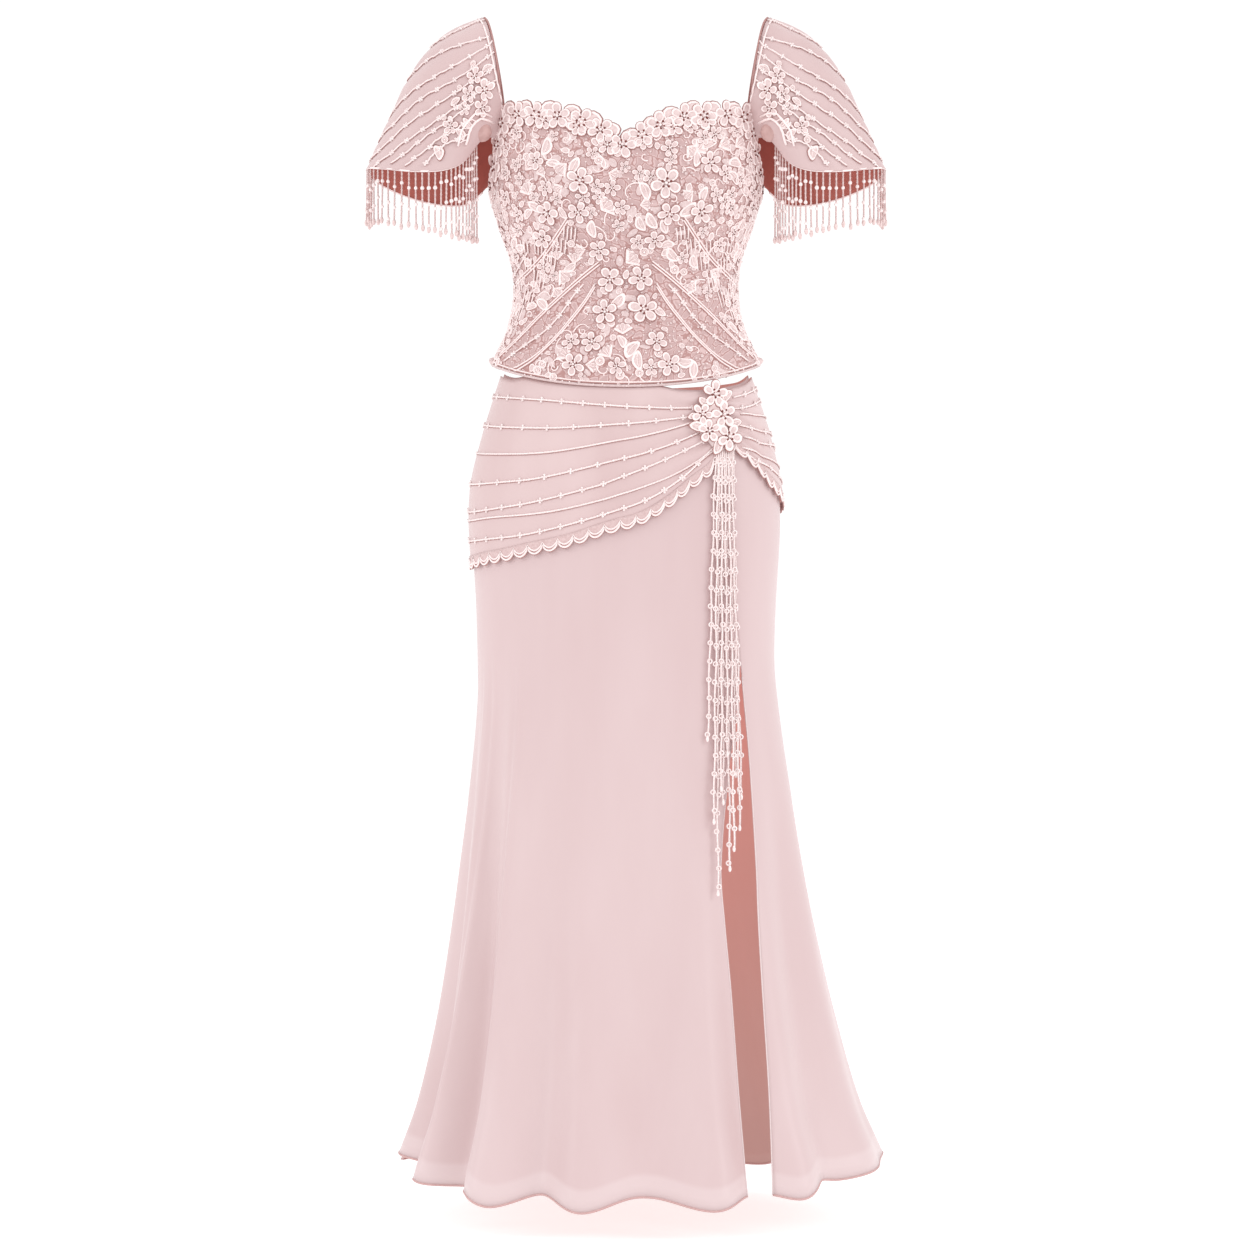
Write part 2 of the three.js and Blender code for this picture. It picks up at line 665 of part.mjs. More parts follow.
// Beaded strands that hang from a narrow strip just under the sleeve's hem.
function sleeveFringe(outer, inner) {
  const STRIP = { high: 3, thick: 2, gap: 0.7 };
  const { first, last, strands: count } = FRINGE;
  const used = SLEEVE_SHARES.filter((share) => share >= first && share <= last);
  const line = (inward) =>
    used.map((share) => {
      const k = SLEEVE_SHARES.indexOf(share);
      const [hem, lining] = [outer[k].at(-1), inner[k].at(-1)];
      const along = outer[k + 1].at(-1).clone().sub(outer[k - 1].at(-1)).setZ(0).normalize();
      const level = Math.min(hem.z, lining.z) - STRIP.gap;
      return new THREE.Vector3(hem.x - along.y * inward, hem.y + along.x * inward, level);
    });
  const edge = (inward) => line(inward).map((p) => [p, p.clone().setZ(p.z - STRIP.high)]);
  const strip = solidBetween(edge(0), edge(STRIP.thick));
  const middle = line(STRIP.thick / 2);
  const margin = 0.1;
  const strands = spread(margin, used.length - 1 - margin, count - 1).map((place, turn) => {
    const k = Math.min(Math.floor(place), middle.length - 2);
    const top = middle[k].clone().lerp(middle[k + 1], place - k);
    const low = valueAt(FRINGE_ENDS, "x", "z", top.x) + 3 * (turn % 2);
    const at = (z, radius) => ({ centre: top.clone().setZ(z), radius });
    return strand([
      at(top.z - STRIP.high / 2, FRINGE.cord),
      at(low + FRINGE.drop, FRINGE.cord),
      at(low + FRINGE.drop / 2, FRINGE.bead),
      at(low, 0.5),
    ]);
  });
  return union([strip, ...strands]);
}

// Panels of the skirt: for each, the angles of its columns at a given height.
function skirtAngles(edges, count) {
  return (z, k) => {
    const [from, to] = edges(z);
    return from + ((to - from) * k) / count;
  };
}

const slitAngle = (z, column) => angleOfX(SKIRT_RINGS, valueAt(SLIT, "z", column, z), z);
const skirtSeam = (z) => seamAngle(valueAt(SKIRT_RINGS, "z", "half", z));
const PANELS = {
  skirt_front: { count: 30, edges: (z) => [-90 + skirtSeam(z), slitAngle(z, "left") - skirtSeam(z)] },
  skirt_front_side: { count: 14, edges: (z) => [slitAngle(z, "right") + skirtSeam(z), 90 - skirtSeam(z)] },
  skirt_back_left: { count: 18, edges: (z) => [90 + skirtSeam(z), 180 - skirtSeam(z)] },
  skirt_back_right: { count: 18, edges: (z) => [-180 + skirtSeam(z), -90 - skirtSeam(z)] },
};
const SKIRT_LEVELS = [-46, -100, -160, -235, SLIT_TOP_Z, -440, -560, -680, -800, -890];

// Columns of a panel. A column keeps its place between the panel's edges at every height.
function skirtColumns({ count, edges }) {
  const angles = skirtAngles(edges, count);
  return spread(0, count, count).map((k) => {
    const high = valueAt(WAISTLINE, "angle", "z", angles(0, k));
    const low = skirtHemZ(angles(SKIRT_SIDE_HEM_Z, k));
    return [high, ...SKIRT_LEVELS, low].map((z) => skirtPoint(angles(z, k), z));
  });
}

const panelColumns = Object.fromEntries(
  Object.entries(PANELS).map(([name, panel]) => [name, skirtColumns(panel)]),
);

// Outward normals at the points of a panel.
function skirtNormals(name) {
  const { count, edges } = PANELS[name];
  const angles = skirtAngles(edges, count);
  return panelColumns[name].map((column, k) => column.map((p) => normalAt(skirtPoint, angles(p.z, k), p.z)));
}

const panelNormals = Object.fromEntries(Object.keys(PANELS).map((name) => [name, skirtNormals(name)]));

function buildSkirt() {
  for (const [name, columns] of Object.entries(panelColumns)) {
    add(name, wall(columns, panelNormals[name], CLOTH), COLOURS.satin);
  }
}

// Place on a panel's own facets: a height down one of its columns.
function onColumn(columns, normals, k, z, out) {
  const column = columns[k];
  let j = 0;
  while (j < column.length - 2 && z < column[j + 1].z) j += 1;
  const t = (column[j].z - z) / (column[j].z - column[j + 1].z);
  const normal = normals[k][j].clone().lerp(normals[k][j + 1], t).normalize();
  return column[j].clone().lerp(column[j + 1], t).addScaledVector(normal, out);
}

function angleOnSkirt(p) {
  const shift = valueAt(SKIRT_RINGS, "z", "shift", p.z);
  const half = valueAt(SKIRT_RINGS, "z", "half", p.z);
  const depth = valueAt(SKIRT_RINGS, "z", p.y < 0 ? "front" : "back", p.z);
  return THREE.MathUtils.radToDeg(Math.atan2((p.x - shift) / half, -p.y / depth));
}

// How strongly the sash is gathered: full at the brooch, nothing at the sides.
function gather(angle) {
  const BROOCH_ANGLE = 40;
  const REACH = angle < BROOCH_ANGLE ? 55 : 45;
  return Math.exp(-(((angle - BROOCH_ANGLE) / REACH) ** 2) * 2);
}

// Height of the sash's lower edge on a panel; it runs straight between every second column.
function sashLow(columns, place) {
  const k = Math.min(2 * Math.floor(place / 2), columns.length - 3);
  const [a, b] = [k, k + 2].map((i) => valueAt(SASH_EDGE, "angle", "z", angleOnSkirt(columns[i][2])));
  return THREE.MathUtils.lerp(a, b, (place - k) / 2) + SCALLOP.depth;
}

// One piece of the sash over a skirt panel, from the waist to just above the scalloped trim.
function sashPiece(panel, rows) {
  const columns = panelColumns[panel];
  const normals = panelNormals[panel];
  const layer = (base, folded) =>
    columns.flatMap((column, k) => {
      if (k % 2) return [];
      const angle = angleOnSkirt(column[2]);
      const pull = folded * SASH_FOLD_OUT * gather(angle);
      const high = Math.min(column[0].z, topHemZ(angle)) - SASH_DROP;
      const low = sashLow(columns, k);
      const step = (high - low) / rows;
      return [
        spread(high, low, rows).map((even, j) => {
          const level = SKIRT_LEVELS.find((z) => Math.abs(z - even) < step / 2);
          const z = j === 0 || j === rows || level === undefined ? even : level;
          const fold = (pull * (1 - Math.cos(2 * Math.PI * SASH_FOLDS * (j / rows)))) / 2;
          return onColumn(columns, normals, k, z, base + fold);
        }),
      ];
    });
  return solidBetween(layer(SASH_CLEARANCE + CLOTH, 1), layer(SASH_CLEARANCE, 0));
}

// Scalloped lace along the sash's lower edge, over one panel.
function scallops(panel) {
  const STEPS = 3;
  const columns = panelColumns[panel];
  const normals = panelNormals[panel];
  const edge = (place, out, down) => {
    const k = Math.min(Math.floor(place), columns.length - 2);
    const z = sashLow(columns, place) - 1.5 * SEAM - down;
    return onColumn(columns, normals, k, z, out).lerp(onColumn(columns, normals, k + 1, z, out), place - k);
  };
  const places = spread(0, columns.length - 1, 200);
  const spots = places.map((p) => edge(p, 0, 0));
  const lengths = spots.map((p, i) => (i ? p.distanceTo(spots[i - 1]) : 0));
  const total = lengths.reduce((a, b) => a + b, 0);
  const count = Math.max(1, Math.round(total / SCALLOP.width));
  let walked = 0;
  const along = lengths.map((l) => (walked += l) / total);
  const placeAt = (share) => {
    const i = Math.max(1, along.findIndex((a) => a >= share - 1e-9));
    const t = (share - along[i - 1]) / (along[i] - along[i - 1]);
    return places[i - 1] + (places[i] - places[i - 1]) * t;
  };
  const layer = (out) =>
    spread(0, count * STEPS, count * STEPS).map((s) => {
      const place = placeAt(s / (count * STEPS));
      const bow = Math.abs(Math.sin((Math.PI * s) / STEPS));
      const depth = SCALLOP.depth * (0.35 + 0.65 * bow);
      return [edge(place, out, 0), edge(place, out, depth)];
    });
  return solidBetween(layer(TRIM_CLEARANCE + CLOTH), layer(TRIM_CLEARANCE));
}

function buildSash() {
  const rows = { front: 12, back: 8 };
  const sides = [
    ["front_right", "skirt_front", rows.front],
    ["front_left", "skirt_front_side", rows.front],
    ["back_left", "skirt_back_left", rows.back],
    ["back_right", "skirt_back_right", rows.back],
  ];
  for (const [side, panel, count] of sides) {
    add(`sash_${side}`, sashPiece(panel, count), COLOURS.satin);
    add(`trim_${side}`, scallops(panel), COLOURS.lace);
  }
}

// Flowers on a flat oval backing that lies on the gathered end of the sash.
function buildBrooch() {
  const BACKING = { x: 100, z: -52, wide: 17, high: 37, from: 8.5, to: 11.5, sides: 14 };
  const over = (x, z, out) => {
    const angle = angleOfX(SKIRT_RINGS, x, z);
    return { centre: ringPoint(SKIRT_RINGS, angle, z, out), angle };
  };
  const rim = (out) =>
    Array.from({ length: BACKING.sides }, (_, k) => {
      const turn = (k * 2 * Math.PI) / BACKING.sides;
      const x = BACKING.x + BACKING.wide * Math.cos(turn);
      return over(x, BACKING.z + BACKING.high * Math.sin(turn), out).centre;
    });
  const [back, front] = [rim(BACKING.from), rim(BACKING.to)];
  const count = BACKING.sides;
  const points = [
    ...back,
    ...front,
    over(BACKING.x, BACKING.z, BACKING.from).centre,
    over(BACKING.x, BACKING.z, BACKING.to).centre,
  ];
  const index = [];
  for (let k = 0; k < count; k += 1) {
    const next = (k + 1) % count;
    index.push(k, next, count + next, k, count + next, count + k);
    index.push(2 * count, next, k, 2 * count + 1, count + k, count + next);
  }
  const flowers = BROOCH.map(({ x, z, r }, k) => {
    const { centre, angle } = over(x, z, BACKING.to + 0.3);
    const turn = THREE.MathUtils.degToRad(angle);
    return flower(centre, new THREE.Vector3(Math.sin(turn), -Math.cos(turn), 0), r, k);
  });
  add("brooch", union([solidFrom(points, index), ...flowers]), COLOURS.lace);
}

// Long beaded strands that hang from a small head under the brooch, over the skirt.
function buildTassel() {
  const HEAD = { high: 5, thick: 2, out: 9 };
  const STEP_Z = 62;
  const place = (x, z, out) => {
    const angle = angleOfX(SKIRT_RINGS, x, z);
    const crest = Math.max(0, foldOut(angle, z), foldOut(angle - 4, z));
    return ringPoint(SKIRT_RINGS, angle, z, out + crest);
  };
  const band = (out) =>
    spread(STRANDS[0].top - 1.5, STRANDS[STRANDS.length - 1].top + 1.5, 4).map((x) => [
      place(x, STRAND_TOP_Z - 1, out),
      place(x, STRAND_TOP_Z - 1 - HEAD.high, out),
    ]);
  const head = solidBetween(band(HEAD.out), band(HEAD.out - HEAD.thick));
  const strands = STRANDS.map(({ top, end, low, out }) => {
    const start = STRAND_TOP_Z - 4;
    const count = Math.round((start - low) / STEP_Z);
    const places = spread(start, low + 10, count).map((z, k) => {
      const t = (start - z) / (start - low);
      const lift = THREE.MathUtils.lerp(HEAD.out - 1, out, Math.min(1, t * 6));
      return { centre: place(top + (end - top) * t, z, lift), radius: k % 2 ? 1.5 : 0.8 };
    });
    places.push({ centre: place(end, low + 5, out), radius: 2.2 });
    places.push({ centre: place(end, low, out), radius: 0.5 });
    return strand(places);
  });
  add("tassel", union([head, ...strands]), COLOURS.bead);
}

buildTop();
buildSleeves();
buildSkirt();
buildSash();
buildBrooch();
buildTassel();

export default set;
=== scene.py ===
import math
import random

import bpy
import numpy as np
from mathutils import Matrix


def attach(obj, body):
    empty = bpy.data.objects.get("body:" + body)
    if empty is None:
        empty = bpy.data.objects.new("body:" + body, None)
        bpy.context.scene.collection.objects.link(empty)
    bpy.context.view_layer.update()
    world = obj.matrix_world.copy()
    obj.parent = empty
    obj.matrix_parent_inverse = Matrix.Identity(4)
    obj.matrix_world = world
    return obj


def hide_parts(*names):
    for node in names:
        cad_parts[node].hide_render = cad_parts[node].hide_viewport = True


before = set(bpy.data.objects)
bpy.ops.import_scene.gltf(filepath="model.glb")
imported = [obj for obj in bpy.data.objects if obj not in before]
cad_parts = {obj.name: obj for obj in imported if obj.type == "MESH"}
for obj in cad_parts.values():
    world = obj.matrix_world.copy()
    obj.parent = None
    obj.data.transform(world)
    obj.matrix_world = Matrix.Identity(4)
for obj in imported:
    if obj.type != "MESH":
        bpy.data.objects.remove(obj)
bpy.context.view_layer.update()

MM = 0.001


def table(columns, rows):
    """Columns of a table by name, sorted along the first."""
    rows = sorted(rows)
    return {name: np.array([row[i] for row in rows], float) for i, name in enumerate(columns.split())}


def smooth(columns, key, name, at):
    """Smooth value of a column at places along the key column."""
    x, y = columns[key], columns[name]
    at = np.clip(np.asarray(at, float), x[0], x[-1])
    slopes = np.empty(len(x))
    slopes[1:-1] = (y[2:] - y[:-2]) / (x[2:] - x[:-2])
    slopes[0] = (y[1] - y[0]) / (x[1] - x[0])
    slopes[-1] = (y[-1] - y[-2]) / (x[-1] - x[-2])
    i = np.clip(np.searchsorted(x, at, side="right") - 1, 0, len(x) - 2)
    span = x[i + 1] - x[i]
    t = (at - x[i]) / span
    ease = t * t * (3 - 2 * t)
    lead, tail = t * (1 - t) ** 2, t * t * (t - 1)
    return y[i] * (1 - ease) + y[i + 1] * ease + span * (lead * slopes[i] + tail * slopes[i + 1])


# Sections of the body, as in the solids
RIM_ROUNDNESS = 2.2
TOP_RINGS = table("z half front back", [
    (-20, 156, 106, 114), (18, 160, 107, 116), (38, 151, 101, 108), (58, 142, 96, 100),
    (96, 134, 93, 92), (125, 134, 95, 91), (150, 139, 102, 94), (180, 150, 112, 100),
    (216, 160, 118, 105), (250, 162, 118, 107), (290, 164, 114, 106), (325, 166, 108, 103),
])
CUP = {"x": 72, "z": 214, "out": 16, "radius": 46}
CORNER_X, CORNER_Z, BACK_CORNER_Z, UNDERARM_Z = 147, 319, 312, 238
ARMHOLE_BEND = 2.2
TOP_SIDE_HEM_Z, TOP_FRONT_DIP, TOP_BACK_DIP = 18, 31, 10
BACK_NECK_DIP = 18
HEM_BEND = 1.55
NECKLINE = table("x z", [(0, 277), (16, 289), (41, 301), (76, 313), (110, 318), (CORNER_X, CORNER_Z)])

SKIRT_RINGS = table("z half front back shift", [
    (10, 145, 98, 107, 0), (-24, 156, 104, 118, 0), (-72, 171, 111, 132, 0),
    (-120, 182, 116, 142, 0), (-168, 185, 119, 146, 0), (-216, 183, 121, 144, 0),
    (-264, 180, 122, 139, 0), (-336, 178, 125, 134, 0), (-384, 180, 129, 134, 2),
    (-480, 190, 140, 141, 5), (-576, 202, 153, 152, 7), (-672, 216, 169, 166, 10),
    (-768, 233, 188, 183, 13), (-864, 256, 210, 203, 15), (-936, 283, 229, 221, 17),
    (-985, 294, 240, 231, 17),
])
WAISTLINE = table("angle z", [
    (-180, -5), (-120, 0), (-90, 7), (-75, 4), (-60, 0), (-48, 2), (-30, -1), (0, -7),
    (14, -12), (22, -16), (36, -16), (60, -8), (90, 6), (120, 0), (180, -5),
])
SKIRT_SIDE_HEM_Z, SKIRT_FRONT_DIP = -932, 28
FOLD_DRIFT, FOLD_GROWTH = 12, 1.15
FOLDS = table("angle out start", [
    (-180, -12, -440), (-165, 15, -440), (-150, -13, -430), (-135, 17, -420), (-120, -14, -420),
    (-105, 15, -400), (-93, -9, -380), (-80, 13, -360), (-69, -19, -340), (-58, 19, -320),
    (-48, -19, -290), (-38, 18, -320), (-23, -12, -420), (-12, 16, -460), (3, -13, -480),
    (16, 12, -480), (26, -14, -430), (38, 14, -400), (52, -14, -400), (67, 12, -420),
    (80, 9, -440), (93, 12, -440), (108, -13, -430), (123, 16, -420), (138, -13, -430),
    (152, 15, -440), (166, -12, -440), (180, -12, -440),
])
SLIT_TOP_Z = -336
SLIT = table("z left right", [
    (10, 100, 100), (-95, 112, 112), (-200, 122, 122), (-300, 132, 132), (SLIT_TOP_Z, 135, 135),
    (-400, 129, 141), (-459, 121, 146), (-579, 111, 153), (-640, 115, 155), (-717, 122, 159),
    (-841, 131, 166), (-985, 143, 170),
])
SASH_EDGE = table("angle z", [
    (-180, -188), (-135, -210), (-90, -225), (-54, -219), (-34, -210), (-19, -201), (-7, -188),
    (4, -175), (13, -156), (22, -133), (29, -118), (36, -98), (45, -91), (56, -111), (67, -132),
    (90, -152), (135, -168), (180, -188),
])
SCALLOP_WIDTH, SCALLOP_DEPTH = 19, 9
BROOCH_ANGLE, SASH_FOLDS, SASH_FOLD_OUT, SASH_DROP = 40, 6, 4, 2
SASH_OUT = 3.7  # how far the sash's face lies over the skirt
# Angle and z along the beaded lines of the sash, from the brooch over the wearer's right side and the back
# to the brooch again
SASH_LINES = [
    [(31, -39), (12, -39), (-9, -35), (-38, -28), (-90, -20), (-180, -14), (-270, -12), (-281, -12),
     (-310, -24)],
    [(26, -48), (-2, -58), (-30, -62), (-90, -54), (-180, -38), (-270, -25), (-299, -34), (-313, -39)],
    [(26, -55), (1, -75), (-23, -89), (-43, -92), (-90, -87), (-180, -64), (-270, -45), (-298, -44),
     (-309, -44)],
    [(33, -60), (23, -73), (1, -97), (-22, -116), (-41, -124), (-90, -124), (-180, -92), (-270, -66),
     (-300, -62), (-314, -56)],
    [(33, -70), (18, -92), (4, -112), (-10, -132), (-42, -153), (-90, -157), (-180, -116), (-270, -81),
     (-296, -78), (-310, -71)],
    [(35, -79), (21, -109), (4, -133), (-8, -148), (-27, -161), (-52, -166), (-90, -168), (-180, -136),
     (-270, -105), (-297, -94), (-312, -83)],
    [(37, -82), (28, -98), (18, -122), (6, -147), (-8, -166), (-27, -182), (-46, -190), (-90, -192),
     (-180, -160), (-270, -122), (-299, -103), (-312, -90)],
]
DENSE_LINES = (2, 5)  # lines whose beads are close together, with no bead flowers

# Where the sleeve's edge on the body's side runs free, between its two seams
NECK_EDGE = [
    (0.2, -150, -78, 345), (0.34, -159, -50, 398), (0.42, -166, -26, 424), (0.5, -172, 0, 434),
    (0.58, -166, 26, 424), (0.66, -159, 50, 396), (0.79, -150, 76, 342),
]
SLEEVE_HEM = table("share x y z", [
    (0, -176, -60, 288), (0.1, -190, -73, 257), (0.2, -214, -78, 244), (0.3, -251, -68, 243),
    (0.4, -291, -40, 249), (0.5, -311, 0, 252), (0.6, -299, 40, 239), (0.7, -265, 64, 225),
    (0.8, -228, 72, 217), (0.9, -194, 66, 217), (1, -172, 50, 232),
])
SLEEVE_PROFILE = table("along puff", [
    (0, 0), (0.06, 0.56), (0.14, 0.92), (0.24, 1), (0.4, 0.95), (0.55, 0.72), (0.8, 0.34), (1, 0),
])
SLEEVE_PUFF, PUFF_DEPTH = 35, 0.6
SLEEVE_SEAT = np.array([-0.6, 0, 0.4])  # the sleeve's sewn edge, off the face of the top
FRONT_ATTACH, BACK_MIDWAY, BACK_ATTACH = 0.22, 0.3, 0.58  # shares of the armhole, from its corner down

CLOTH = 0.9  # thickness of the shown cloth
BODICE_CLOTH = 1.6


def signed_power(v, power):
    return np.sign(v) * np.abs(v) ** power


def ring_point(rings, angle, z, out=0.0):
    turn = np.radians(angle)
    s, c = np.sin(turn), np.cos(turn)
    half = smooth(rings, "z", "half", z) + out
    depth = np.where(c > 0, smooth(rings, "z", "front", z), smooth(rings, "z", "back", z)) + out
    x = shift_of(rings, z) + half * signed_power(s, 2 / RIM_ROUNDNESS)
    y = -depth * signed_power(c, 2 / RIM_ROUNDNESS)
    return np.stack(np.broadcast_arrays(x, y, z), -1)


def shift_of(rings, z):
    return smooth(rings, "z", "shift", z) if "shift" in rings else 0.0


def angle_of_x(rings, x, z):
    share = np.clip((x - shift_of(rings, z)) / smooth(rings, "z", "half", z), -1, 1)
    return np.degrees(np.arcsin(signed_power(share, RIM_ROUNDNESS / 2)))


def top_point(angle, z, out=0.0):
    p = ring_point(TOP_RINGS, angle, z, out)
    front = np.abs(angle) < 90
    for side in (-1, 1):
        far = (p[..., 0] - side * CUP["x"]) ** 2 + (p[..., 2] - CUP["z"]) ** 2
        p[..., 1] -= np.where(front, CUP["out"] * np.exp(-far / (2 * CUP["radius"] ** 2)), 0)
    return p


CORNER_ANGLE = float(angle_of_x(TOP_RINGS, CORNER_X, CORNER_Z))


def armhole_z(corner_z, share):
    return UNDERARM_Z + (corner_z - UNDERARM_Z) * np.clip(1 - share, 0, 1) ** ARMHOLE_BEND


def arm_angle(share):
    return CORNER_ANGLE + (90 - CORNER_ANGLE) * share


def top_edge_z(angle):
    wide = np.abs(angle)
    neck_x = CORNER_X * np.sin(np.clip(wide / CORNER_ANGLE, 0, 1) * math.pi / 2)
    neck = smooth(NECKLINE, "x", "z", neck_x)
    front_arm = armhole_z(CORNER_Z, (wide - CORNER_ANGLE) / (90 - CORNER_ANGLE))
    behind = 180 - wide
    back_arm = armhole_z(BACK_CORNER_Z, (behind - CORNER_ANGLE) / (90 - CORNER_ANGLE))
    low = np.cos(np.clip(behind / CORNER_ANGLE, 0, 1) * math.pi / 2) ** 2
    back = BACK_CORNER_Z - BACK_NECK_DIP * low
    return np.where(wide <= CORNER_ANGLE, neck,
                    np.where(wide <= 90, front_arm, np.where(behind >= CORNER_ANGLE, back_arm, back)))


def top_hem_z(angle):
    c = np.cos(np.radians(angle))
    return TOP_SIDE_HEM_Z - np.where(c > 0, TOP_FRONT_DIP, TOP_BACK_DIP) * np.abs(c) ** HEM_BEND


def fold_out(angle, z):
    start = smooth(FOLDS, "angle", "start", angle)
    share = np.clip((start - z) / (start - SKIRT_SIDE_HEM_Z + SKIRT_FRONT_DIP), 0, 1)
    drift = FOLD_DRIFT * np.sin(np.radians(angle)) * (1 - share)
    return smooth(FOLDS, "angle", "out", angle - drift) * share ** FOLD_GROWTH


# Where the deepest folds turn under, as steps from a crest into a trough
CREASES = [(-44.2, 1), (-61.5, 0.7), (-71, 0.4)]
CREASE_OUT, CREASE_WIDTH, CREASE_TOP_Z, CREASE_GROWTH = 4.4, 1.4, -330, 0.7


def crease_out(angle, z):
    share = np.clip((CREASE_TOP_Z - z) / (CREASE_TOP_Z - SKIRT_SIDE_HEM_Z), 0, 1)
    total = 0.0
    for at, size in CREASES:
        step = (angle - at) / CREASE_WIDTH
        total = total + size * step * np.exp(0.5 - step ** 2 / 2)
    return CREASE_OUT * total * share ** CREASE_GROWTH


def skirt_point(angle, z, out=0.0):
    return ring_point(SKIRT_RINGS, angle, z, fold_out(angle, z) + crease_out(angle, z) + out)


# The hem, whose lobes hang a little beside the crests of the folds
HEM = table("angle z", [
    (-180, -965), (-165, -975), (-150, -957), (-135, -962), (-120, -940), (-105, -943), (-93, -924),
    (-85, -920), (-78, -924), (-69, -932), (-62, -938), (-56, -945), (-49, -947), (-45, -946), (-40, -952),
    (-33, -963), (-22, -949), (-11, -965), (0, -950), (14, -964), (24, -952), (30, -950), (37, -955),
    (46, -940), (57, -942), (69, -935), (80, -929), (90, -926), (100, -932), (108, -932), (123, -952),
    (138, -948), (152, -968), (166, -961), (180, -965),
])


def skirt_hem_z(angle):
    return smooth(HEM, "angle", "z", angle)


def sleeve_inner_table():
    def sewn(share, angle, z):
        return (share, *(top_point(-angle, z) + SLEEVE_SEAT))

    return table("share x y z", [
        sewn(0, arm_angle(FRONT_ATTACH), armhole_z(CORNER_Z, FRONT_ATTACH)),
        sewn(0.1, CORNER_ANGLE, CORNER_Z),
        *NECK_EDGE,
        sewn(0.86, 180 - CORNER_ANGLE, BACK_CORNER_Z),
        sewn(0.93, 180 - arm_angle(BACK_MIDWAY), armhole_z(BACK_CORNER_Z, BACK_MIDWAY)),
        sewn(1, 180 - arm_angle(BACK_ATTACH), armhole_z(BACK_CORNER_Z, BACK_ATTACH)),
    ])


SLEEVE_INNER = sleeve_inner_table()


def table_point(rows, share):
    return np.stack([smooth(rows, "share", k, share) for k in "xyz"], -1)


def sleeve_point(share, along, out=0.0):
    """Point of the sleeve at -X, out millimetres off its face."""
    share, along = np.broadcast_arrays(np.asarray(share, float), np.asarray(along, float))

    def face(s, a):
        puff = SLEEVE_PUFF * smooth(SLEEVE_PROFILE, "along", "puff", a) * np.sin(math.pi * np.clip(s, 0, 1))
        way = math.pi * (0.5 - s)
        p = table_point(SLEEVE_INNER, s) * (1 - a[..., None]) + table_point(SLEEVE_HEM, s) * a[..., None]
        return p + np.stack([-puff * np.cos(way), -puff * PUFF_DEPTH * np.sin(way), 0 * puff], -1)

    p = face(share, along)
    if np.any(out):
        step = 0.01
        across = face(share + step, along) - face(share - step, along)
        down = face(share, along + step) - face(share, along - step)
        n = np.cross(across, down)
        p = p + n / np.linalg.norm(n, axis=-1, keepdims=True) * np.asarray(out)[..., None]
    return p


# Mesh making

def new_mesh(name, points, faces, materials, face_slots=None, uvs=None, mirror=False):
    """Mesh object from points in millimetres and faces that all have three or all four corners."""
    points = np.array(points, float) * MM
    faces = np.asarray(faces, np.int32)
    if mirror:
        points[:, 0] *= -1
        faces = faces[:, ::-1]
    mesh = bpy.data.meshes.new(name)
    mesh.vertices.add(len(points))
    mesh.vertices.foreach_set("co", points.ravel())
    mesh.loops.add(faces.size)
    mesh.loops.foreach_set("vertex_index", np.ascontiguousarray(faces).ravel())
    mesh.polygons.add(len(faces))
    mesh.polygons.foreach_set("loop_start", np.arange(0, faces.size, faces.shape[1], dtype=np.int32))
    mesh.update(calc_edges=True)
    for material in materials:
        mesh.materials.append(material)
    if face_slots is not None:
        mesh.polygons.foreach_set("material_index", np.asarray(face_slots, np.int32))
    mesh.polygons.foreach_set("use_smooth", np.ones(len(faces), bool))
    if uvs is not None:
        layer = mesh.uv_layers.new(name="cloth")
        layer.data.foreach_set("uv", (np.asarray(uvs)[faces.ravel()] * MM).ravel())
    mesh.update()
    piece = bpy.data.objects.new(name, mesh)
    bpy.context.collection.objects.link(piece)
    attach(piece, "root")
    return piece


def grid_normals(points):
    n = np.cross(np.gradient(points, axis=1), np.gradient(points, axis=0))
    return n / np.maximum(np.linalg.norm(n, axis=-1, keepdims=True), 1e-9)


def walked(points, axis):
    """How far each point of a grid is from the grid's first one along an axis."""
    first = np.take(points, [0], axis)
    return np.cumsum(np.linalg.norm(np.diff(points, axis=axis, prepend=first), axis=-1), axis=axis)


def shell(name, points, thickness, outside, inside, mirror=False):
    """Closed thin sheet from a grid of points, whose inner side has its own material. Its UVs are in
    millimetres of cloth, from the lowest row up."""
    across, down = walked(points, 0), walked(points, 1)
    uvs = np.stack([across, down[:, -1:] - down], -1)
    inner = points - grid_normals(points) * thickness
    count = points.shape[0] * points.shape[1]
    index = np.arange(count).reshape(points.shape[:2])
    a, b, c, d = index[:-1, :-1], index[:-1, 1:], index[1:, 1:], index[1:, :-1]
    outer_faces = np.stack([a, b, c, d], -1).reshape(-1, 4)
    rim = np.concatenate([index[:, 0], index[-1, 1:], index[-2::-1, -1], index[0, -2:0:-1]])
    after = np.roll(rim, -1)
    rim_faces = np.stack([rim, after, after + count, rim + count], -1)
    faces = np.concatenate([outer_faces, outer_faces[:, ::-1] + count, rim_faces])
    slots = np.repeat([0, 1, 0], [len(outer_faces), len(outer_faces), len(rim_faces)])
    both = np.concatenate([points.reshape(-1, 3), inner.reshape(-1, 3)])
    return new_mesh(name, both, faces, [outside, inside], slots,
                    np.concatenate([uvs.reshape(-1, 2)] * 2), mirror)


def declare_cut(points):
    """Work out what size a sheet was cut to: its longest row, its longest column and its area. Nothing is
    done with these numbers.
    """
    width = walked(points, 0)[-1].max() * MM
    length = walked(points, 1)[:, -1].max() * MM
    across = points[1:, 1:] - points[:-1, :-1]
    down = points[1:, :-1] - points[:-1, 1:]
    area = np.linalg.norm(np.cross(across, down), axis=-1).sum() / 2 * MM * MM
    area = min(area, width * length)


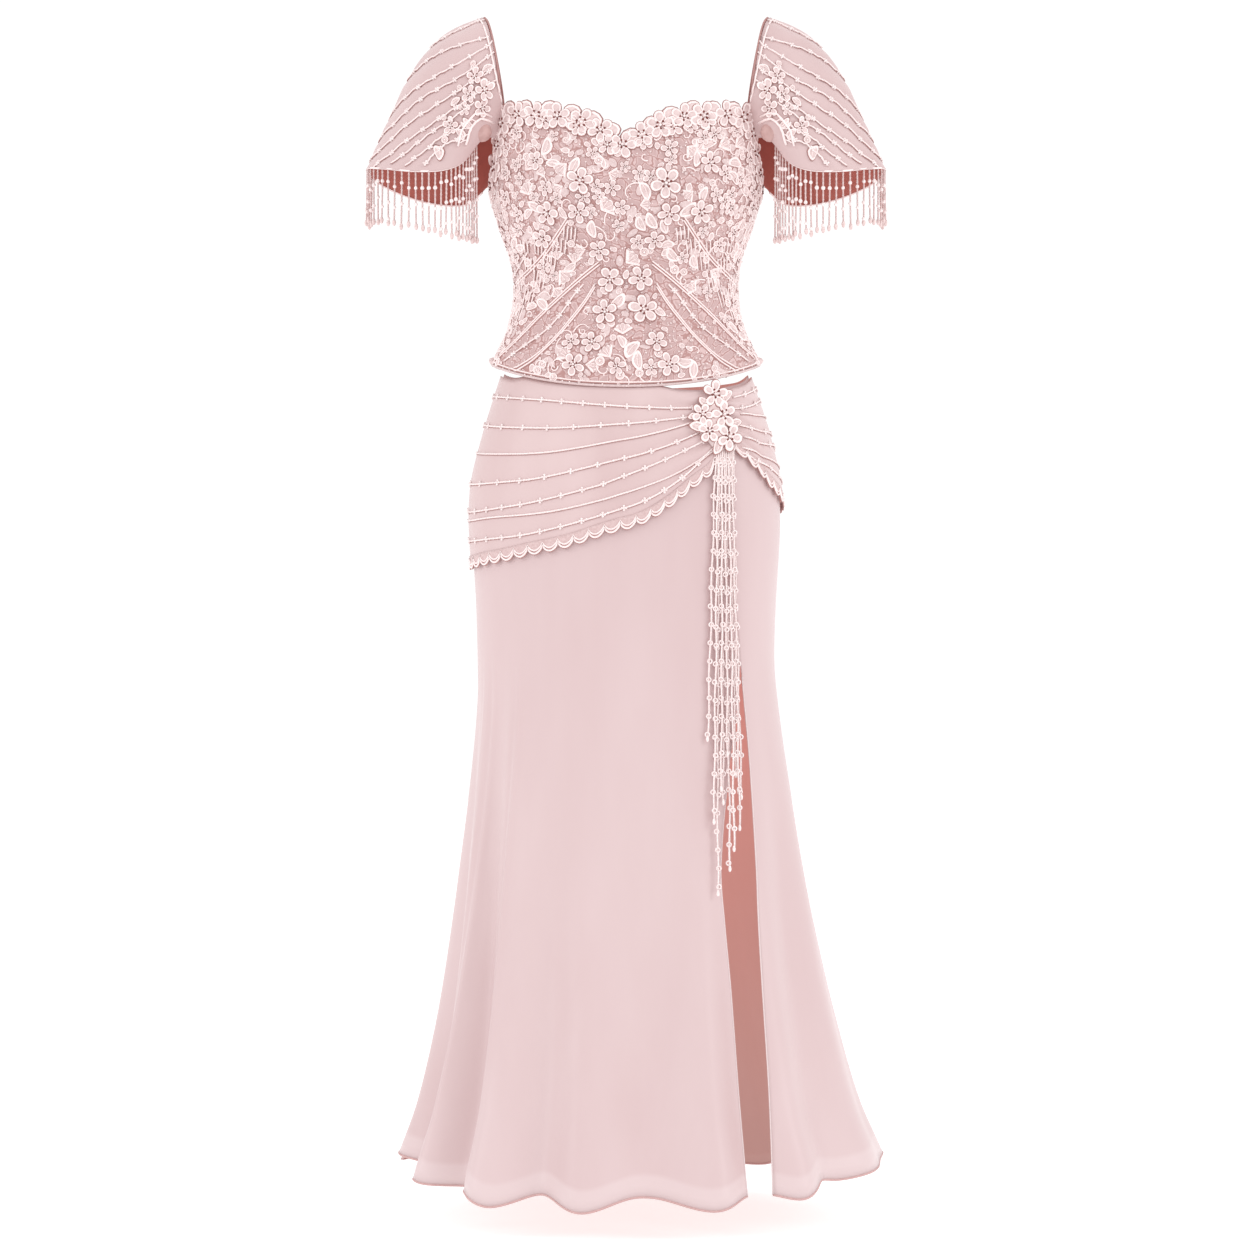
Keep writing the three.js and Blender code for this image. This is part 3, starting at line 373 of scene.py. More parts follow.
class Surface:
    """A form that small shapes are laid on. Its point function takes two places and how far out."""

    def __init__(self, point, steps, turn=1):
        self.point, self.steps, self.turn = point, steps, turn

    def sides(self, u, v):
        step_u, step_v = self.steps
        across = (self.point(u + step_u, v) - self.point(u - step_u, v)) / (2 * step_u)
        up = (self.point(u, v + step_v) - self.point(u, v - step_v)) / (2 * step_v)
        return across, up

    def at(self, u, v, out=0.0):
        u, v, out = np.broadcast_arrays(np.asarray(u, float), np.asarray(v, float), np.asarray(out, float))
        n = np.cross(*self.sides(u, v))
        n /= np.maximum(np.linalg.norm(n, axis=-1, keepdims=True), 1e-9)
        return self.point(u, v) + n * out[..., None]

    def lay(self, u, v, flat):
        """Points (right, up, out) in millimetres about the places u, v."""
        across, up = self.sides(u, v)
        size_u = np.linalg.norm(across, axis=-1) * self.turn
        size_v = np.linalg.norm(up, axis=-1) * self.turn
        return self.at(u + flat[:, 0] / size_u, v + flat[:, 1] / size_v, flat[:, 2])


BODY_STEPS, SLEEVE_STEPS = (0.4, 1.0), (0.004, 0.008)  # how far apart a surface is felt for its slope
TOP = Surface(top_point, BODY_STEPS)
SLEEVE_FACE = Surface(sleeve_point, SLEEVE_STEPS, -1)


class Pile:
    """Many small closed shapes of triangles, gathered into one mesh."""

    def __init__(self, surface=None):
        self.surface = surface
        self.places, self.laid, self.faces, self.slots, self.count = [], [], [], [], 0

    def add(self, shape, slots, place):
        points, faces, *own_slots = shape
        self.laid.append(points)
        self.places.append(np.tile(np.asarray(place, float), (len(points), 1)))
        self.faces.append(np.asarray(faces) + self.count)
        self.slots.append(np.broadcast_to(own_slots[0] if own_slots else slots, len(faces)))
        self.count += len(points)

    def put(self, shape, slots=0):
        """Add a shape whose points are in place."""
        self.add(shape, slots, (np.nan, np.nan))

    def lay(self, at, shape, slots=0):
        """Add a shape whose points are (right, up, out) about a place of the surface."""
        self.add(shape, slots, at)

    def build(self, name, slot, materials, mirror=False):
        points, places = np.concatenate(self.laid), np.concatenate(self.places)
        on = ~np.isnan(places[:, 0])
        if on.any():
            points[on] = self.surface.lay(places[on, 0], places[on, 1], points[on])
        return new_mesh(name, points, np.concatenate(self.faces), materials,
                        np.concatenate(self.slots), mirror=mirror)


def ball_shape(rings=4, sides=7):
    """Unit ball of few triangles."""
    points = [(0, 0, 1)]
    for i in range(1, rings):
        lift = math.pi * i / rings
        for k in range(sides):
            turn = 2 * math.pi * (k + 0.5 * (i % 2)) / sides
            points.append((math.sin(lift) * math.cos(turn), math.sin(lift) * math.sin(turn), math.cos(lift)))
    points.append((0, 0, -1))
    faces = []
    last = len(points) - 1
    low = 1 + (rings - 2) * sides
    for k in range(sides):
        n = (k + 1) % sides
        faces += [(0, 1 + k, 1 + n), (last, low + n, low + k)]
        for i in range(rings - 2):
            a, b = 1 + i * sides, 1 + (i + 1) * sides
            faces += [(a + k, b + k, a + n), (a + n, b + k, b + n)]
    return np.array(points, float), np.array(faces)


BALL = ball_shape()
SEED = ball_shape(3, 5)


def ball(centre, radius, shape=BALL, stretch=1.0):
    return shape[0] * np.array([radius, radius, radius * stretch]) + centre, shape[1]


def round_turns(count):
    """Even steps of a full turn, in radians."""
    return 2 * math.pi * np.arange(count) / count


def tube(line, radius, sides=5, closed=False, towards=(0.0, -1.0, 0.13)):
    """Closed tube along a line of points; radius is one number or one for each point."""
    line = np.asarray(line, float)
    n = len(line)
    radii = np.broadcast_to(np.asarray(radius, float), (n,))
    tangent = np.roll(line, -1, 0) - np.roll(line, 1, 0) if closed else np.gradient(line, axis=0)
    tangent /= np.maximum(np.linalg.norm(tangent, axis=1, keepdims=True), 1e-9)
    side = np.cross(tangent, np.asarray(towards))
    side /= np.maximum(np.linalg.norm(side, axis=1, keepdims=True), 1e-9)
    other = np.cross(tangent, side)
    turns = round_turns(sides)
    rings = line[:, None] + radii[:, None, None] * (
        np.cos(turns)[None, :, None] * side[:, None] + np.sin(turns)[None, :, None] * other[:, None])
    points = rings.reshape(-1, 3)
    index = np.arange(n * sides).reshape(n, sides)
    after = np.roll(index, -1, 0) if closed else index[1:]
    index = index if closed else index[:-1]
    a, b = index, after
    c, d = np.roll(index, -1, 1), np.roll(after, -1, 1)
    faces = np.concatenate([np.stack([a, c, b], -1).reshape(-1, 3), np.stack([c, d, b], -1).reshape(-1, 3)])
    if not closed:
        k = np.arange(sides)
        m = (k + 1) % sides
        first, last = np.full(sides, len(points)), np.full(sides, len(points) + 1)
        end = (n - 1) * sides
        points = np.concatenate([points, line[:1], line[-1:]])
        faces = np.concatenate([faces, np.stack([first, m, k], -1), np.stack([last, end + k, end + m], -1)])
    return points, faces


def way_along(line):
    """How far along a line each of its points is."""
    return np.concatenate([[0], np.cumsum(np.linalg.norm(np.diff(line, axis=0), axis=1))])


def along_line(line, spacing, start=0.0):
    """Points at even spacing along a line of points."""
    way = way_along(line)
    at = np.arange(start, way[-1], spacing)
    return np.stack([np.interp(at, way, line[:, k]) for k in range(line.shape[1])], -1)


def curve_through(points, count):
    """Smooth line of count points through a few given ones."""
    points = np.asarray(points, float)
    way = way_along(points)
    at = np.linspace(0, way[-1], count)
    columns = [smooth({"t": way, "v": points[:, k]}, "t", "v", at) for k in range(points.shape[1])]
    return np.stack(columns, -1)


def joined(parts):
    """One shape of several, each given with the slot that it has if it has no slots of its own."""
    points, faces, marks, count = [], [], [], 0
    for (spots, corners, *own_slots), slot in parts:
        points.append(spots)
        faces.append(corners + count)
        marks.append(own_slots[0] if own_slots else np.full(len(corners), slot))
        count += len(spots)
    return np.concatenate(points), np.concatenate(faces), np.concatenate(marks)


def turned(shape, degrees):
    c, s = math.cos(math.radians(degrees)), math.sin(math.radians(degrees))
    p = shape[0]
    return (np.stack([p[:, 0] * c - p[:, 1] * s, p[:, 0] * s + p[:, 1] * c, p[:, 2]], -1), *shape[1:])


def lowered(shape, down):
    shape[0][:, 1] -= down
    return shape


# Flat motifs: points are (right, up, out) in millimetres; the slots are those of MOTIF
# The fifth slot holds dark lines round motifs and beside cords, the fourth dark dots between petals and the
# last darker sleeve cloth: all painted shade
BODY, RIM, PEARL, SHADE_DOT, SHADE_LINE, FILL, SHADE = range(7)
OUTWARD = (0, 0, 1)
PAD_FOOT = -0.6


def pad(outline, profile):
    """Closed raised pad over an outline. Each row of the profile is a share of the way from the middle
    to the outline, a height and a slot."""
    n = len(outline)
    middle = outline.mean(0)
    rings = [np.column_stack([middle + (outline - middle) * share, np.full(n, high)])
             for share, high, _ in profile[1:]]
    points = np.concatenate([[[*middle, profile[0][1]]], *rings, [[*middle, PAD_FOOT]]])
    k = np.arange(n)
    m = (k + 1) % n
    faces = [np.column_stack([np.zeros(n, int), 1 + k, 1 + m])]
    slots = [profile[1][2]] * n
    for i in range(len(rings) - 1):
        a, b = 1 + i * n, 1 + (i + 1) * n
        faces += [np.column_stack([a + k, b + k, b + m]), np.column_stack([a + k, b + m, a + m])]
        slots += [profile[i + 2][2]] * (2 * n)
    last = 1 + (len(rings) - 1) * n
    faces.append(np.column_stack([np.full(n, len(points) - 1), last + m, last + k]))
    slots += [BODY] * n
    return points, np.concatenate(faces), np.array(slots)


def padded_profile(high, rim, edge=0.75):
    """A domed middle, a groove, from the share edge on a raised cord, and outside it a darker ring of painted
    shade.
    """
    return [(0, high, BODY), (edge * 0.64, high * 0.94, BODY), (edge * 0.88, high * 0.6, BODY),
            (edge, high * 0.75 + rim * 0.6, RIM), (edge / 2 + 0.5, high * 0.75 + rim, RIM),
            (0.99, high * 0.4, RIM), (1.15, -0.3, SHADE_LINE)]


# Its outer ring is a dark line of painted shade
CARVED = [(0, 1.2, FILL), (0.74, 1.0, FILL), (0.98, 0.5, FILL), (1.24, -0.3, SHADE_LINE)]  # a flat pad without cord


def petal_outline(length, width, count=12):
    t = round_turns(count)
    y = length * (0.5 - 0.5 * np.cos(t))
    return np.column_stack([width / 2 * np.sin(t) * (0.66 + 0.42 * y / length), y])


def leaf_outline(length, width, bend=0.0, count=14):
    t = round_turns(count)
    y = length * (0.5 - 0.5 * np.cos(t))
    x = width / 2 * signed_power(np.sin(t), 1.3)
    return np.column_stack([x + bend * np.sin(math.pi * y / length), y])


def fan_outline(radius, spread_degrees, lobes=4, count=18):
    """A shell-like fan with a lobed outer edge."""
    arc = np.linspace(-0.5, 0.5, count - 1)
    turn = np.radians(arc * spread_degrees)
    r = radius * (0.9 + 0.1 * np.abs(np.cos(math.pi * lobes * (arc + 0.5))))
    return np.concatenate([[[0.0, 0.0]], np.column_stack([r * np.sin(-turn), r * np.cos(turn)])])


def round_outline(radius, count=12):
    t = round_turns(count)
    return radius * np.column_stack([np.cos(t), np.sin(t)])


PETALS = 5
# Heights and places in a flower, as shares of its radius
FLOWER = {"petal_height": 0.11, "petal_cord": 0.055, "petal_start": 0.11, "pearl_out": 0.13, "pearl": 0.12,
          "gap_shade_out": 0.12, "gap_shade": 0.1}
OVERLAP_LIFT = 0.35  # every second petal lies over its neighbours


def flower_form(rng, radius, cup=0.14, detail=12, edge=0.75):
    """Open flower: cupped petals with corded edges, dark dots of painted shade in the gaps between them, and
    a pearl in the middle.
    """
    size = {name: radius * share for name, share in FLOWER.items()}
    parts = []
    first = rng.uniform(0, 360)
    for k in range(PETALS):
        length = radius * rng.uniform(0.82, 0.92)
        width = radius * rng.uniform(0.66, 0.76)
        profile = padded_profile(size["petal_height"], size["petal_cord"], edge)
        shape = lowered(pad(petal_outline(length, width, detail), profile), -size["petal_start"])
        x, y, out = shape[0].T
        lift = cup * radius * (np.hypot(x, y) / radius) ** 2 + OVERLAP_LIFT * (k % 2)
        shape[0][:, 2] += np.where(out > PAD_FOOT + 0.1, lift, 0)
        parts.append((turned(shape, first + 360 * k / PETALS + rng.uniform(-6, 6)), BODY))
    parts.append((ball((0, 0, size["pearl_out"]), size["pearl"]), PEARL))
    # Dark dots in the gaps where petals meet: painted shade
    for k in range(PETALS):
        turn = math.radians(first + 90 + 360 * (k + 0.5) / PETALS + rng.uniform(-8, 8))
        at = radius * rng.uniform(0.24, 0.32)
        place = (at * math.cos(turn), at * math.sin(turn), size["gap_shade_out"])
        parts.append((ball(place, size["gap_shade"], SEED, 1.3), SHADE_DOT))
    return joined(parts)


def leaf_form(rng, length, width, seeded=False):
    """Leaf with a corded edge and rib, and seed beads on it where it is seeded."""
    bend = rng.uniform(-0.16, 0.16) * length
    y = np.linspace(0.08, 0.92, 7) * length
    rib = np.column_stack([bend * np.sin(math.pi * y / length), y, np.full(7, 1.5)])
    parts = [(pad(leaf_outline(length, width, bend), padded_profile(1.3, 0.9)), BODY),
             (tube(rib, 0.45, 4, towards=OUTWARD), RIM)]
    for _ in range(10 if seeded else 0):
        share = rng.uniform(0.2, 0.8)
        x = (rng.uniform(-0.26, 0.26) * width + bend) * math.sin(math.pi * share)
        parts.append((ball((x, share * length, 1.6), rng.uniform(0.45, 0.65), SEED), PEARL))
    return lowered(joined(parts), length / 2)


def fan_form(rng, radius, ribs=4):
    """Shell-like fan with corded ribs."""
    spread_degrees = rng.uniform(80, 120)
    parts = [(pad(fan_outline(radius, spread_degrees), padded_profile(1.2, 0.9)), BODY)]
    way = np.linspace(0.2, 0.82, 5) * radius
    for k in range(ribs):
        turn = math.radians(spread_degrees * ((k + 0.5) / ribs - 0.5) * 0.86)
        rib = np.column_stack([way * math.sin(turn), way * math.cos(turn), np.full(5, 1.6)])
        parts.append((tube(rib, 0.5, 4, towards=OUTWARD), RIM))
    return lowered(joined(parts), radius / 2)


RING_ROSETTE = 3.5  # rosettes of a larger radius have a ring of cord round the pearl


def rosette_form(radius):
    """Coiled cord round a pearl."""
    parts = [(pad(round_outline(radius), padded_profile(1.2, 1.0)), BODY),
             (ball((0, 0, 1.5), radius * 0.3), PEARL)]
    if radius > RING_ROSETTE:
        ring = np.column_stack([round_outline(radius * 0.52, 10), np.full(10, 1.6)])
        parts.append((tube(ring, 0.42, 4, True, OUTWARD), RIM))
    return joined(parts)


def bud_form(radius):
    return lowered(pad(petal_outline(radius * 2.1, radius * 1.6, 10), padded_profile(1.5, 0.7)), radius)


def scroll_form(rng, length, count=15):
    """Cord laid in an S or a hook, that ends in a bead."""
    t = np.linspace(0, 1, count)
    first, last = rng.uniform(-1.2, 1.2), rng.choice([-1, 1]) * rng.uniform(2.2, 4.6)
    heading = first + (last - first) * t ** 1.6
    step = length / (count - 1)
    x = np.cumsum(np.sin(heading)) * step
    y = np.cumsum(np.cos(heading)) * step
    line = np.column_stack([x - x.mean(), y - y.mean(), np.full(count, 0.9)])
    cord = tube(line, np.linspace(0.95, 0.55, count), 5, towards=OUTWARD)
    return joined([(cord, RIM), (ball(line[-1], 1.3, SEED), PEARL)])


STROKE_SPACING = 3.5
STROKE_SHADE = np.array([1.8, 0, -0.3])  # where a stroke's shade lies beside it


def comb_form(rng, width, length):
    """Parallel hanging strokes of thread, each with its shade beside it."""
    count = max(3, int(width / STROKE_SPACING))
    parts = []
    for k in range(count):
        x = (k / (count - 1) - 0.5) * width
        low = -length * rng.uniform(0.75, 1.0)
        line = np.array([(x, 0, 0.7), (x + 0.3, low / 2, 0.9), (x, low, 0.6)])
        parts.append((tube(line, 1.0, 4, towards=OUTWARD), RIM))
        parts.append((tube(line + STROKE_SHADE, 0.65, 3, towards=OUTWARD), SHADE_LINE))
    return joined(parts)


BEAD_FLOWER = joined([  # four round beads about one
    (ball((2.3 * x, 2.3 * y, 0.8), 1.9, SEED), PEARL) for x, y in ((0, 0), (1, 0), (0, 1), (-1, 0), (0, -1))
])


def ring_bead(radius, cord, count=10):
    x, z = round_outline(radius, count).T
    return tube(np.column_stack([x, np.zeros(count), z]), cord, 4, True, (0, 1, 0))


# Materials

PAINTED_GLOW_COLOUR = (0.9, 0.52, 0.49)  # colour of a painted glow, emission that lifts shaded cloth to warm pink in place of light that comes through pink cloth
# How strongly the satin, sash, sleeve and lace glow: painted light
CLOTH_PAINTED_GLOW = 0.1


def linear(r, g, b):
    """Linear colour from display values out of 255."""
    return tuple(((v / 255 + 0.055) / 1.055) ** 2.4 for v in (r, g, b))


class Look:
    """A material, and ways to add to its nodes. Colours are linear."""

    def __init__(self, name, colour, roughness, sheen=0.0, coat=0.0, glow=0.0):
        self.material = bpy.data.materials.new(name)
        self.material.use_nodes = True
        self.nodes, self.links = self.material.node_tree.nodes, self.material.node_tree.links
        self.shader = self.nodes["Principled BSDF"]
        self.set(self.shader, {
            "Base Color": (*colour, 1), "Roughness": roughness, "IOR": 1.45, "Coat Weight": coat,
            "Sheen Weight": sheen, "Sheen Roughness": 0.45,
            "Emission Color": (*PAINTED_GLOW_COLOUR, 1), "Emission Strength": glow,
        })

    def set(self, node, inputs):
        """Give inputs of a node their values, or link them where the value is a socket."""
        for name, value in inputs.items():
            if isinstance(value, bpy.types.NodeSocket):
                self.links.new(value, node.inputs[name])
            else:
                node.inputs[name].default_value = value

    def add(self, kind, inputs, output, **settings):
        """Output of a new node."""
        node = self.nodes.new("ShaderNode" + kind)
        for name, value in settings.items():
            setattr(node, name, value)
        self.set(node, inputs)
        return node.outputs[output]

    def uv(self):
        """The cloth's own coordinates, in metres."""
        return self.add("UVMap", {}, "UV", uv_map="cloth")

    def noise(self, scale, detail=3.0, stretch=(1, 1, 1)):
        """Noise in object space, stretched along the axes."""
        place = self.add("TexCoord", {}, "Object")
        vector = self.add("Mapping", {"Vector": place, "Scale": stretch}, "Vector")
        return self.add("TexNoise", {"Vector": vector, "Scale": scale, "Detail": detail}, "Fac")

    def fade(self, vector, axis, start, end, most):
        """A number that goes from most to nothing as an axis of the vector goes from start to end."""
        value = self.add("SeparateXYZ", {"Vector": vector}, axis)
        return self.add("MapRange", {"Value": value, "From Min": start, "From Max": end, "To Min": most,
                                     "To Max": 0.0}, "Result")

    def ramp(self, factor, stops):
        """Colour worked out from a number by stops of place and colour."""
        colour = self.add("ValToRGB", {"Fac": factor}, "Color")
        points = colour.node.color_ramp.elements
        while len(points) < len(stops):
            points.new(0.5)
        for point, (place, shade) in zip(points, stops):
            point.position = place
            point.color = (*shade, 1)
        return colour

    def blend(self, factor, dark, light):
        """Colour the cloth by a number about one half."""
        self.set(self.shader, {"Base Color": self.ramp(factor, ((0.35, dark), (0.65, light)))})

    def tint(self, factor, colour):
        """Mix a colour into the one that the cloth has."""
        base = self.shader.inputs["Base Color"].links[0].from_socket
        mix = self.add("MixRGB", {"Fac": factor, "Color1": base, "Color2": (*colour, 1)}, "Color")
        self.set(self.shader, {"Base Color": mix})

    def bump(self, height, strength, depth):
        """Relief, depth millimetres deep."""
        normal = self.add("Bump", {"Height": height, "Strength": strength, "Distance": depth * MM}, "Normal")
        self.set(self.shader, {"Normal": normal})


def cloth_look(name, dark, light, roughness, sheen, thread=0.7, relief=(0.25, 0.12)):
    """Cloth with soft upright patches of two close colours, and crossed threads of a width in mm."""
    # Painted light: the cloth glows a little in warm pink
    look = Look(name, linear(*light), roughness, sheen=sheen, glow=CLOTH_PAINTED_GLOW)
    look.blend(look.noise(9, 4, (1, 1, 0.25)), linear(*dark), linear(*light))
    inputs = {"Vector": look.uv(), "Scale": 2 / (thread * MM * math.tau), "Distortion": 0.6}
    waves = [look.add("TexWave", inputs, "Fac", bands_direction=axis) for axis in "XY"]
    look.bump(look.add("Math", dict(enumerate(waves)), 0, operation="MAXIMUM"), *relief)
    return look


# The lining is darkened with painted shade towards the floor: fully at this height, fading out over this
# distance above it
LINING_DARK_Z, LINING_FADE = -0.95, 0.5  # in metres


def lining_material(name, dark, light, glow, floor_shade=0.0):
    """Lining with a painted glow, emission that stands in for the light that thin cloth lets through, and
    painted shade that darkens it by a share near the floor."""
    look = cloth_look(name, dark, light, 0.6, 0.1)
    look.set(look.shader, {"Emission Color": (*linear(*dark), 1), "Emission Strength": glow})
    if floor_shade:
        place = look.add("TexCoord", {}, "Object")
        look.tint(look.fade(place, "Z", LINING_DARK_Z, LINING_DARK_Z + LINING_FADE, floor_shade), (0, 0, 0))
    return look.material


def hem_cloth_material(name, dark, light, band, band_height):
    """Satin whose lowest band, of a height in mm, is a lighter, sheer double hem."""
    look = cloth_look(name, dark, light, 0.42, 0.25, 0.6, (0.18, 0.1))
    soft = 3
    start, end = (band_height - soft) * MM, (band_height + soft) * MM
    look.tint(look.fade(look.uv(), "Y", start, end, 0.75), linear(*band))
    return look.material


def lace_material(name, ground, cord, line, cell):
    """Corded lace: loops of light cord with a dark line of shade between them, cell millimetres wide."""
    look = Look(name, linear(*ground), 0.6, sheen=0.2, glow=CLOTH_PAINTED_GLOW)
    uv = look.uv()
    noise = look.add("TexNoise", {"Vector": uv, "Scale": 60}, "Color")
    warp = look.add("VectorMath", {0: noise, 1: (0.02, 0.02, 0), 2: uv}, "Vector", operation="MULTIPLY_ADD")
    far = look.add("TexVoronoi", {"Vector": warp, "Scale": 1 / (cell * MM)}, "Distance",
                   feature="DISTANCE_TO_EDGE")
    colours = ((0.0, line), (0.03, line), (0.07, cord), (0.13, cord), (0.18, ground))
    heights = ((0.0, 0), (0.03, 0), (0.08, 255), (0.14, 240), (0.22, 150))
    look.set(look.shader, {"Base Color": look.ramp(far, [(at, linear(*shade)) for at, shade in colours])})
    look.bump(look.ramp(far, [(at, linear(high, high, high)) for at, high in heights]), 0.5, 0.8)
    return look.material


def speckled_material(name, dark, light, roughness, scale, coat=0.0, relief=0.2, glow=0.0):
    """Thread, beads or stiff cloth, with fine specks of two close colours."""
    look = Look(name, linear(*light), roughness, sheen=0.1, coat=coat, glow=glow)
    noise = look.noise(scale)
    look.blend(noise, linear(*dark), linear(*light))
    look.bump(noise, relief, 0.1)
    return look.material


SATIN = hem_cloth_material("skirt_satin", (193, 171, 172), (198, 178, 179), (204, 187, 188), 26)
SASH = cloth_look("sash_satin", (194, 171, 171), (202, 181, 181), 0.45, 0.25).material
SLEEVE = cloth_look("sleeve_crepe", (187, 162, 162), (196, 174, 174), 0.5, 0.25).material
# The linings glow with painted light, and the skirt's lining is also darkened with painted shade near the
# floor
LINING = lining_material("lining", (196, 149, 142), (206, 160, 153), 0.48, 0.6)
BODICE_LINING = lining_material("bodice_lining", (200, 150, 143), (208, 160, 152), 0.05)
# The sleeve's lining is a darker copy of the lining: painted shade inside the sleeve
SLEEVE_LINING_SHADED = lining_material("sleeve_lining_painted_shade", (161, 85, 75), (173, 97, 87), 0.08)
GROUND = lace_material("lace_ground", (182, 154, 153), (201, 175, 174), (163, 123, 120), 11)
# Flower cloth, cord and pearl beads glow a little: painted light that lifts their shade
PETAL = speckled_material("flower_cloth", (206, 183, 182), (219, 199, 198), 0.5, 260, glow=0.05)
CORD = speckled_material("cord_thread", (238, 222, 221), (246, 234, 233), 0.45, 900, glow=0.09)
BEAD = speckled_material("pearl_bead", (230, 213, 212), (243, 232, 231), 0.25, 500, 0.4, 0.05, 0.07)
# Dark dots in the gaps where petals meet: painted shade
GAP_SHADE = speckled_material("gap_shade", (104, 42, 37), (132, 62, 54), 0.5, 500)
# Dark tubes and rings round motifs and beside cords and strokes: painted shade
PAINTED_SHADE_LINES = speckled_material("painted_shade_lines", (167, 120, 116), (184, 138, 134), 0.6, 700)
LACE = speckled_material("trim_lace", (200, 171, 170), (212, 186, 185), 0.55, 420, relief=0.5)
STRAND = speckled_material("fringe_thread", (208, 176, 174), (220, 191, 189), 0.4, 500)
STRAND_BEAD = speckled_material("fringe_bead", (214, 186, 184), (232, 210, 208), 0.3, 500, coat=0.3)
ROLLED_HEM = speckled_material("rolled_hem", (194, 154, 152), (204, 166, 164), 0.5, 600)
# The slit's edge cords are coloured lighter than the satin: a painted highlight
SLIT_EDGE_HIGHLIGHT = speckled_material("slit_edge_highlight", (216, 198, 198), (224, 207, 207), 0.5, 600)
FILLING = speckled_material("lace_filling", (208, 183, 182), (222, 201, 200), 0.55, 420, relief=0.4)
# Sleeve cloth darkened with painted shade, for the soft fold at the armhole
FOLD_PAINTED_SHADE = speckled_material("fold_cloth_painted_shade", (190, 152, 148), (202, 166, 162), 0.6, 120)
MOTIF = [PETAL, CORD, BEAD, GAP_SHADE, PAINTED_SHADE_LINES, FILLING, FOLD_PAINTED_SHADE]
FRINGE = [STRAND, STRAND, STRAND_BEAD, BEAD]
BIG_BEAD = 3


# Skirt

SLIT_TRIES = 6
HEM_CORD, SLIT_CORD = 1.3, 0.9  # radii of the rolled hem and of the slit's edges
SLIT_ROW = 24  # the first row of a front panel whose edge is the slit's
SASH_SIDE_Z = -120.0  # the sash's pieces are divided where the skirt's panels are at this height


def slit_angle(z, column):
    """Where the folded cloth has the x of a slit edge."""
    x = smooth(SLIT, "z", column, z)
    angle = angle_of_x(SKIRT_RINGS, x, z)
    for _ in range(SLIT_TRIES):
        missed = angle_of_x(SKIRT_RINGS, x, z) - angle_of_x(SKIRT_RINGS, skirt_point(angle, z)[..., 0], z)
        angle = angle + missed
    return angle


SEAM = 0.02  # degrees between two panels at a seam
# How many columns a panel has, and the angles of its two edges at a height
PANELS = {
    "skirt_front": (168, lambda z: (-90 + SEAM, slit_angle(z, "left") - SEAM)),
    "skirt_front_side": (56, lambda z: (slit_angle(z, "right") + SEAM, 90 - SEAM)),
    "skirt_back_left": (56, lambda z: (90 + SEAM, 180 - SEAM)),
    "skirt_back_right": (56, lambda z: (-180 + SEAM, -90 - SEAM)),
}
SKIRT_ROWS = 66


def waist_z(angle):
    return smooth(WAISTLINE, "angle", "z", angle)


def panel_grid(name, high, low, rows):
    """Angles and heights of a grid over a skirt panel, from high(angle) down to low(angle)."""
    count, edges = PANELS[name]
    share = np.linspace(0, 1, count + 1)[:, None]
    ends_z = SKIRT_SIDE_HEM_Z if low is skirt_hem_z else SASH_SIDE_Z
    tops, lows = edges(np.array(0.0)), edges(np.array(ends_z))
    high_z = high(tops[0] + (tops[1] - tops[0]) * share)
    low_z = low(lows[0] + (lows[1] - lows[0]) * share)
    z = high_z + (low_z - high_z) * np.linspace(0, 1, rows + 1)[None, :]
    first, last = edges(z)
    return first + (last - first) * share, z


def build_skirt():
    pieces = {}
    for name in PANELS:
        points = skirt_point(*panel_grid(name, waist_z, skirt_hem_z, SKIRT_ROWS))
        piece = shell(name + "_cloth", points, CLOTH, SATIN, LINING)
        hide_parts(name)
        edge = Pile()
        middle = points - grid_normals(points) * CLOTH / 2
        edge.put(tube(middle[:, -1], HEM_CORD, 6))
        if name.startswith("skirt_front"):
            side = -1 if name == "skirt_front" else 0
            # The slit's edge cord, with its painted highlight
            edge.put(tube(middle[side, SLIT_ROW:], SLIT_CORD, 6), 1)
        hem = edge.build(name + "_hem", "skirt_satin", [ROLLED_HEM, SLIT_EDGE_HIGHLIGHT])
        declare_cut(points)
        pieces[name] = piece
    return pieces


skirt = build_skirt()


# Sash, with its beaded lines and scalloped lace

GATHER_REACH = (55, 45)  # degrees that the gathers reach over the wearer's right and left
SASH_DRIFT, SASH_SOFT = 0.02, 0.5  # how uneven the folds are, and the waves beyond them, in mm


def gather(angle):
    """How strongly the sash is gathered: full at the brooch, nothing at the sides."""
    reach = np.where(angle < BROOCH_ANGLE, *GATHER_REACH)
    return np.exp(-(((angle - BROOCH_ANGLE) / reach) ** 2) * 2)


def sash_high(angle):
    return np.minimum(waist_z(angle), top_hem_z(angle)) - SASH_DROP


def sash_low(angle):
    return smooth(SASH_EDGE, "angle", "z", angle) + SCALLOP_DEPTH


def one_turn(angle):
    return (np.asarray(angle, float) + 180) % 360 - 180


def sash_point(angle, z, out=0.0):
    """Face of the sash, with folds that spread from the brooch."""
    angle = one_turn(angle)
    high, low = sash_high(angle), sash_low(angle)
    share = np.clip((high - z) / (high - low), 0, 1)
    pull = gather(angle)
    wave = share + SASH_DRIFT * np.sin(angle / 7)
    fold = SASH_FOLD_OUT * pull * (0.5 - 0.5 * np.cos(2 * math.pi * SASH_FOLDS * wave)) ** 0.7
    soft = SASH_SOFT * np.sin(angle / 8 + 9 * share) * np.sin(math.pi * np.clip(share, 0, 1)) * (1 - pull)
    return skirt_point(angle, z, SASH_OUT + fold + soft + out)


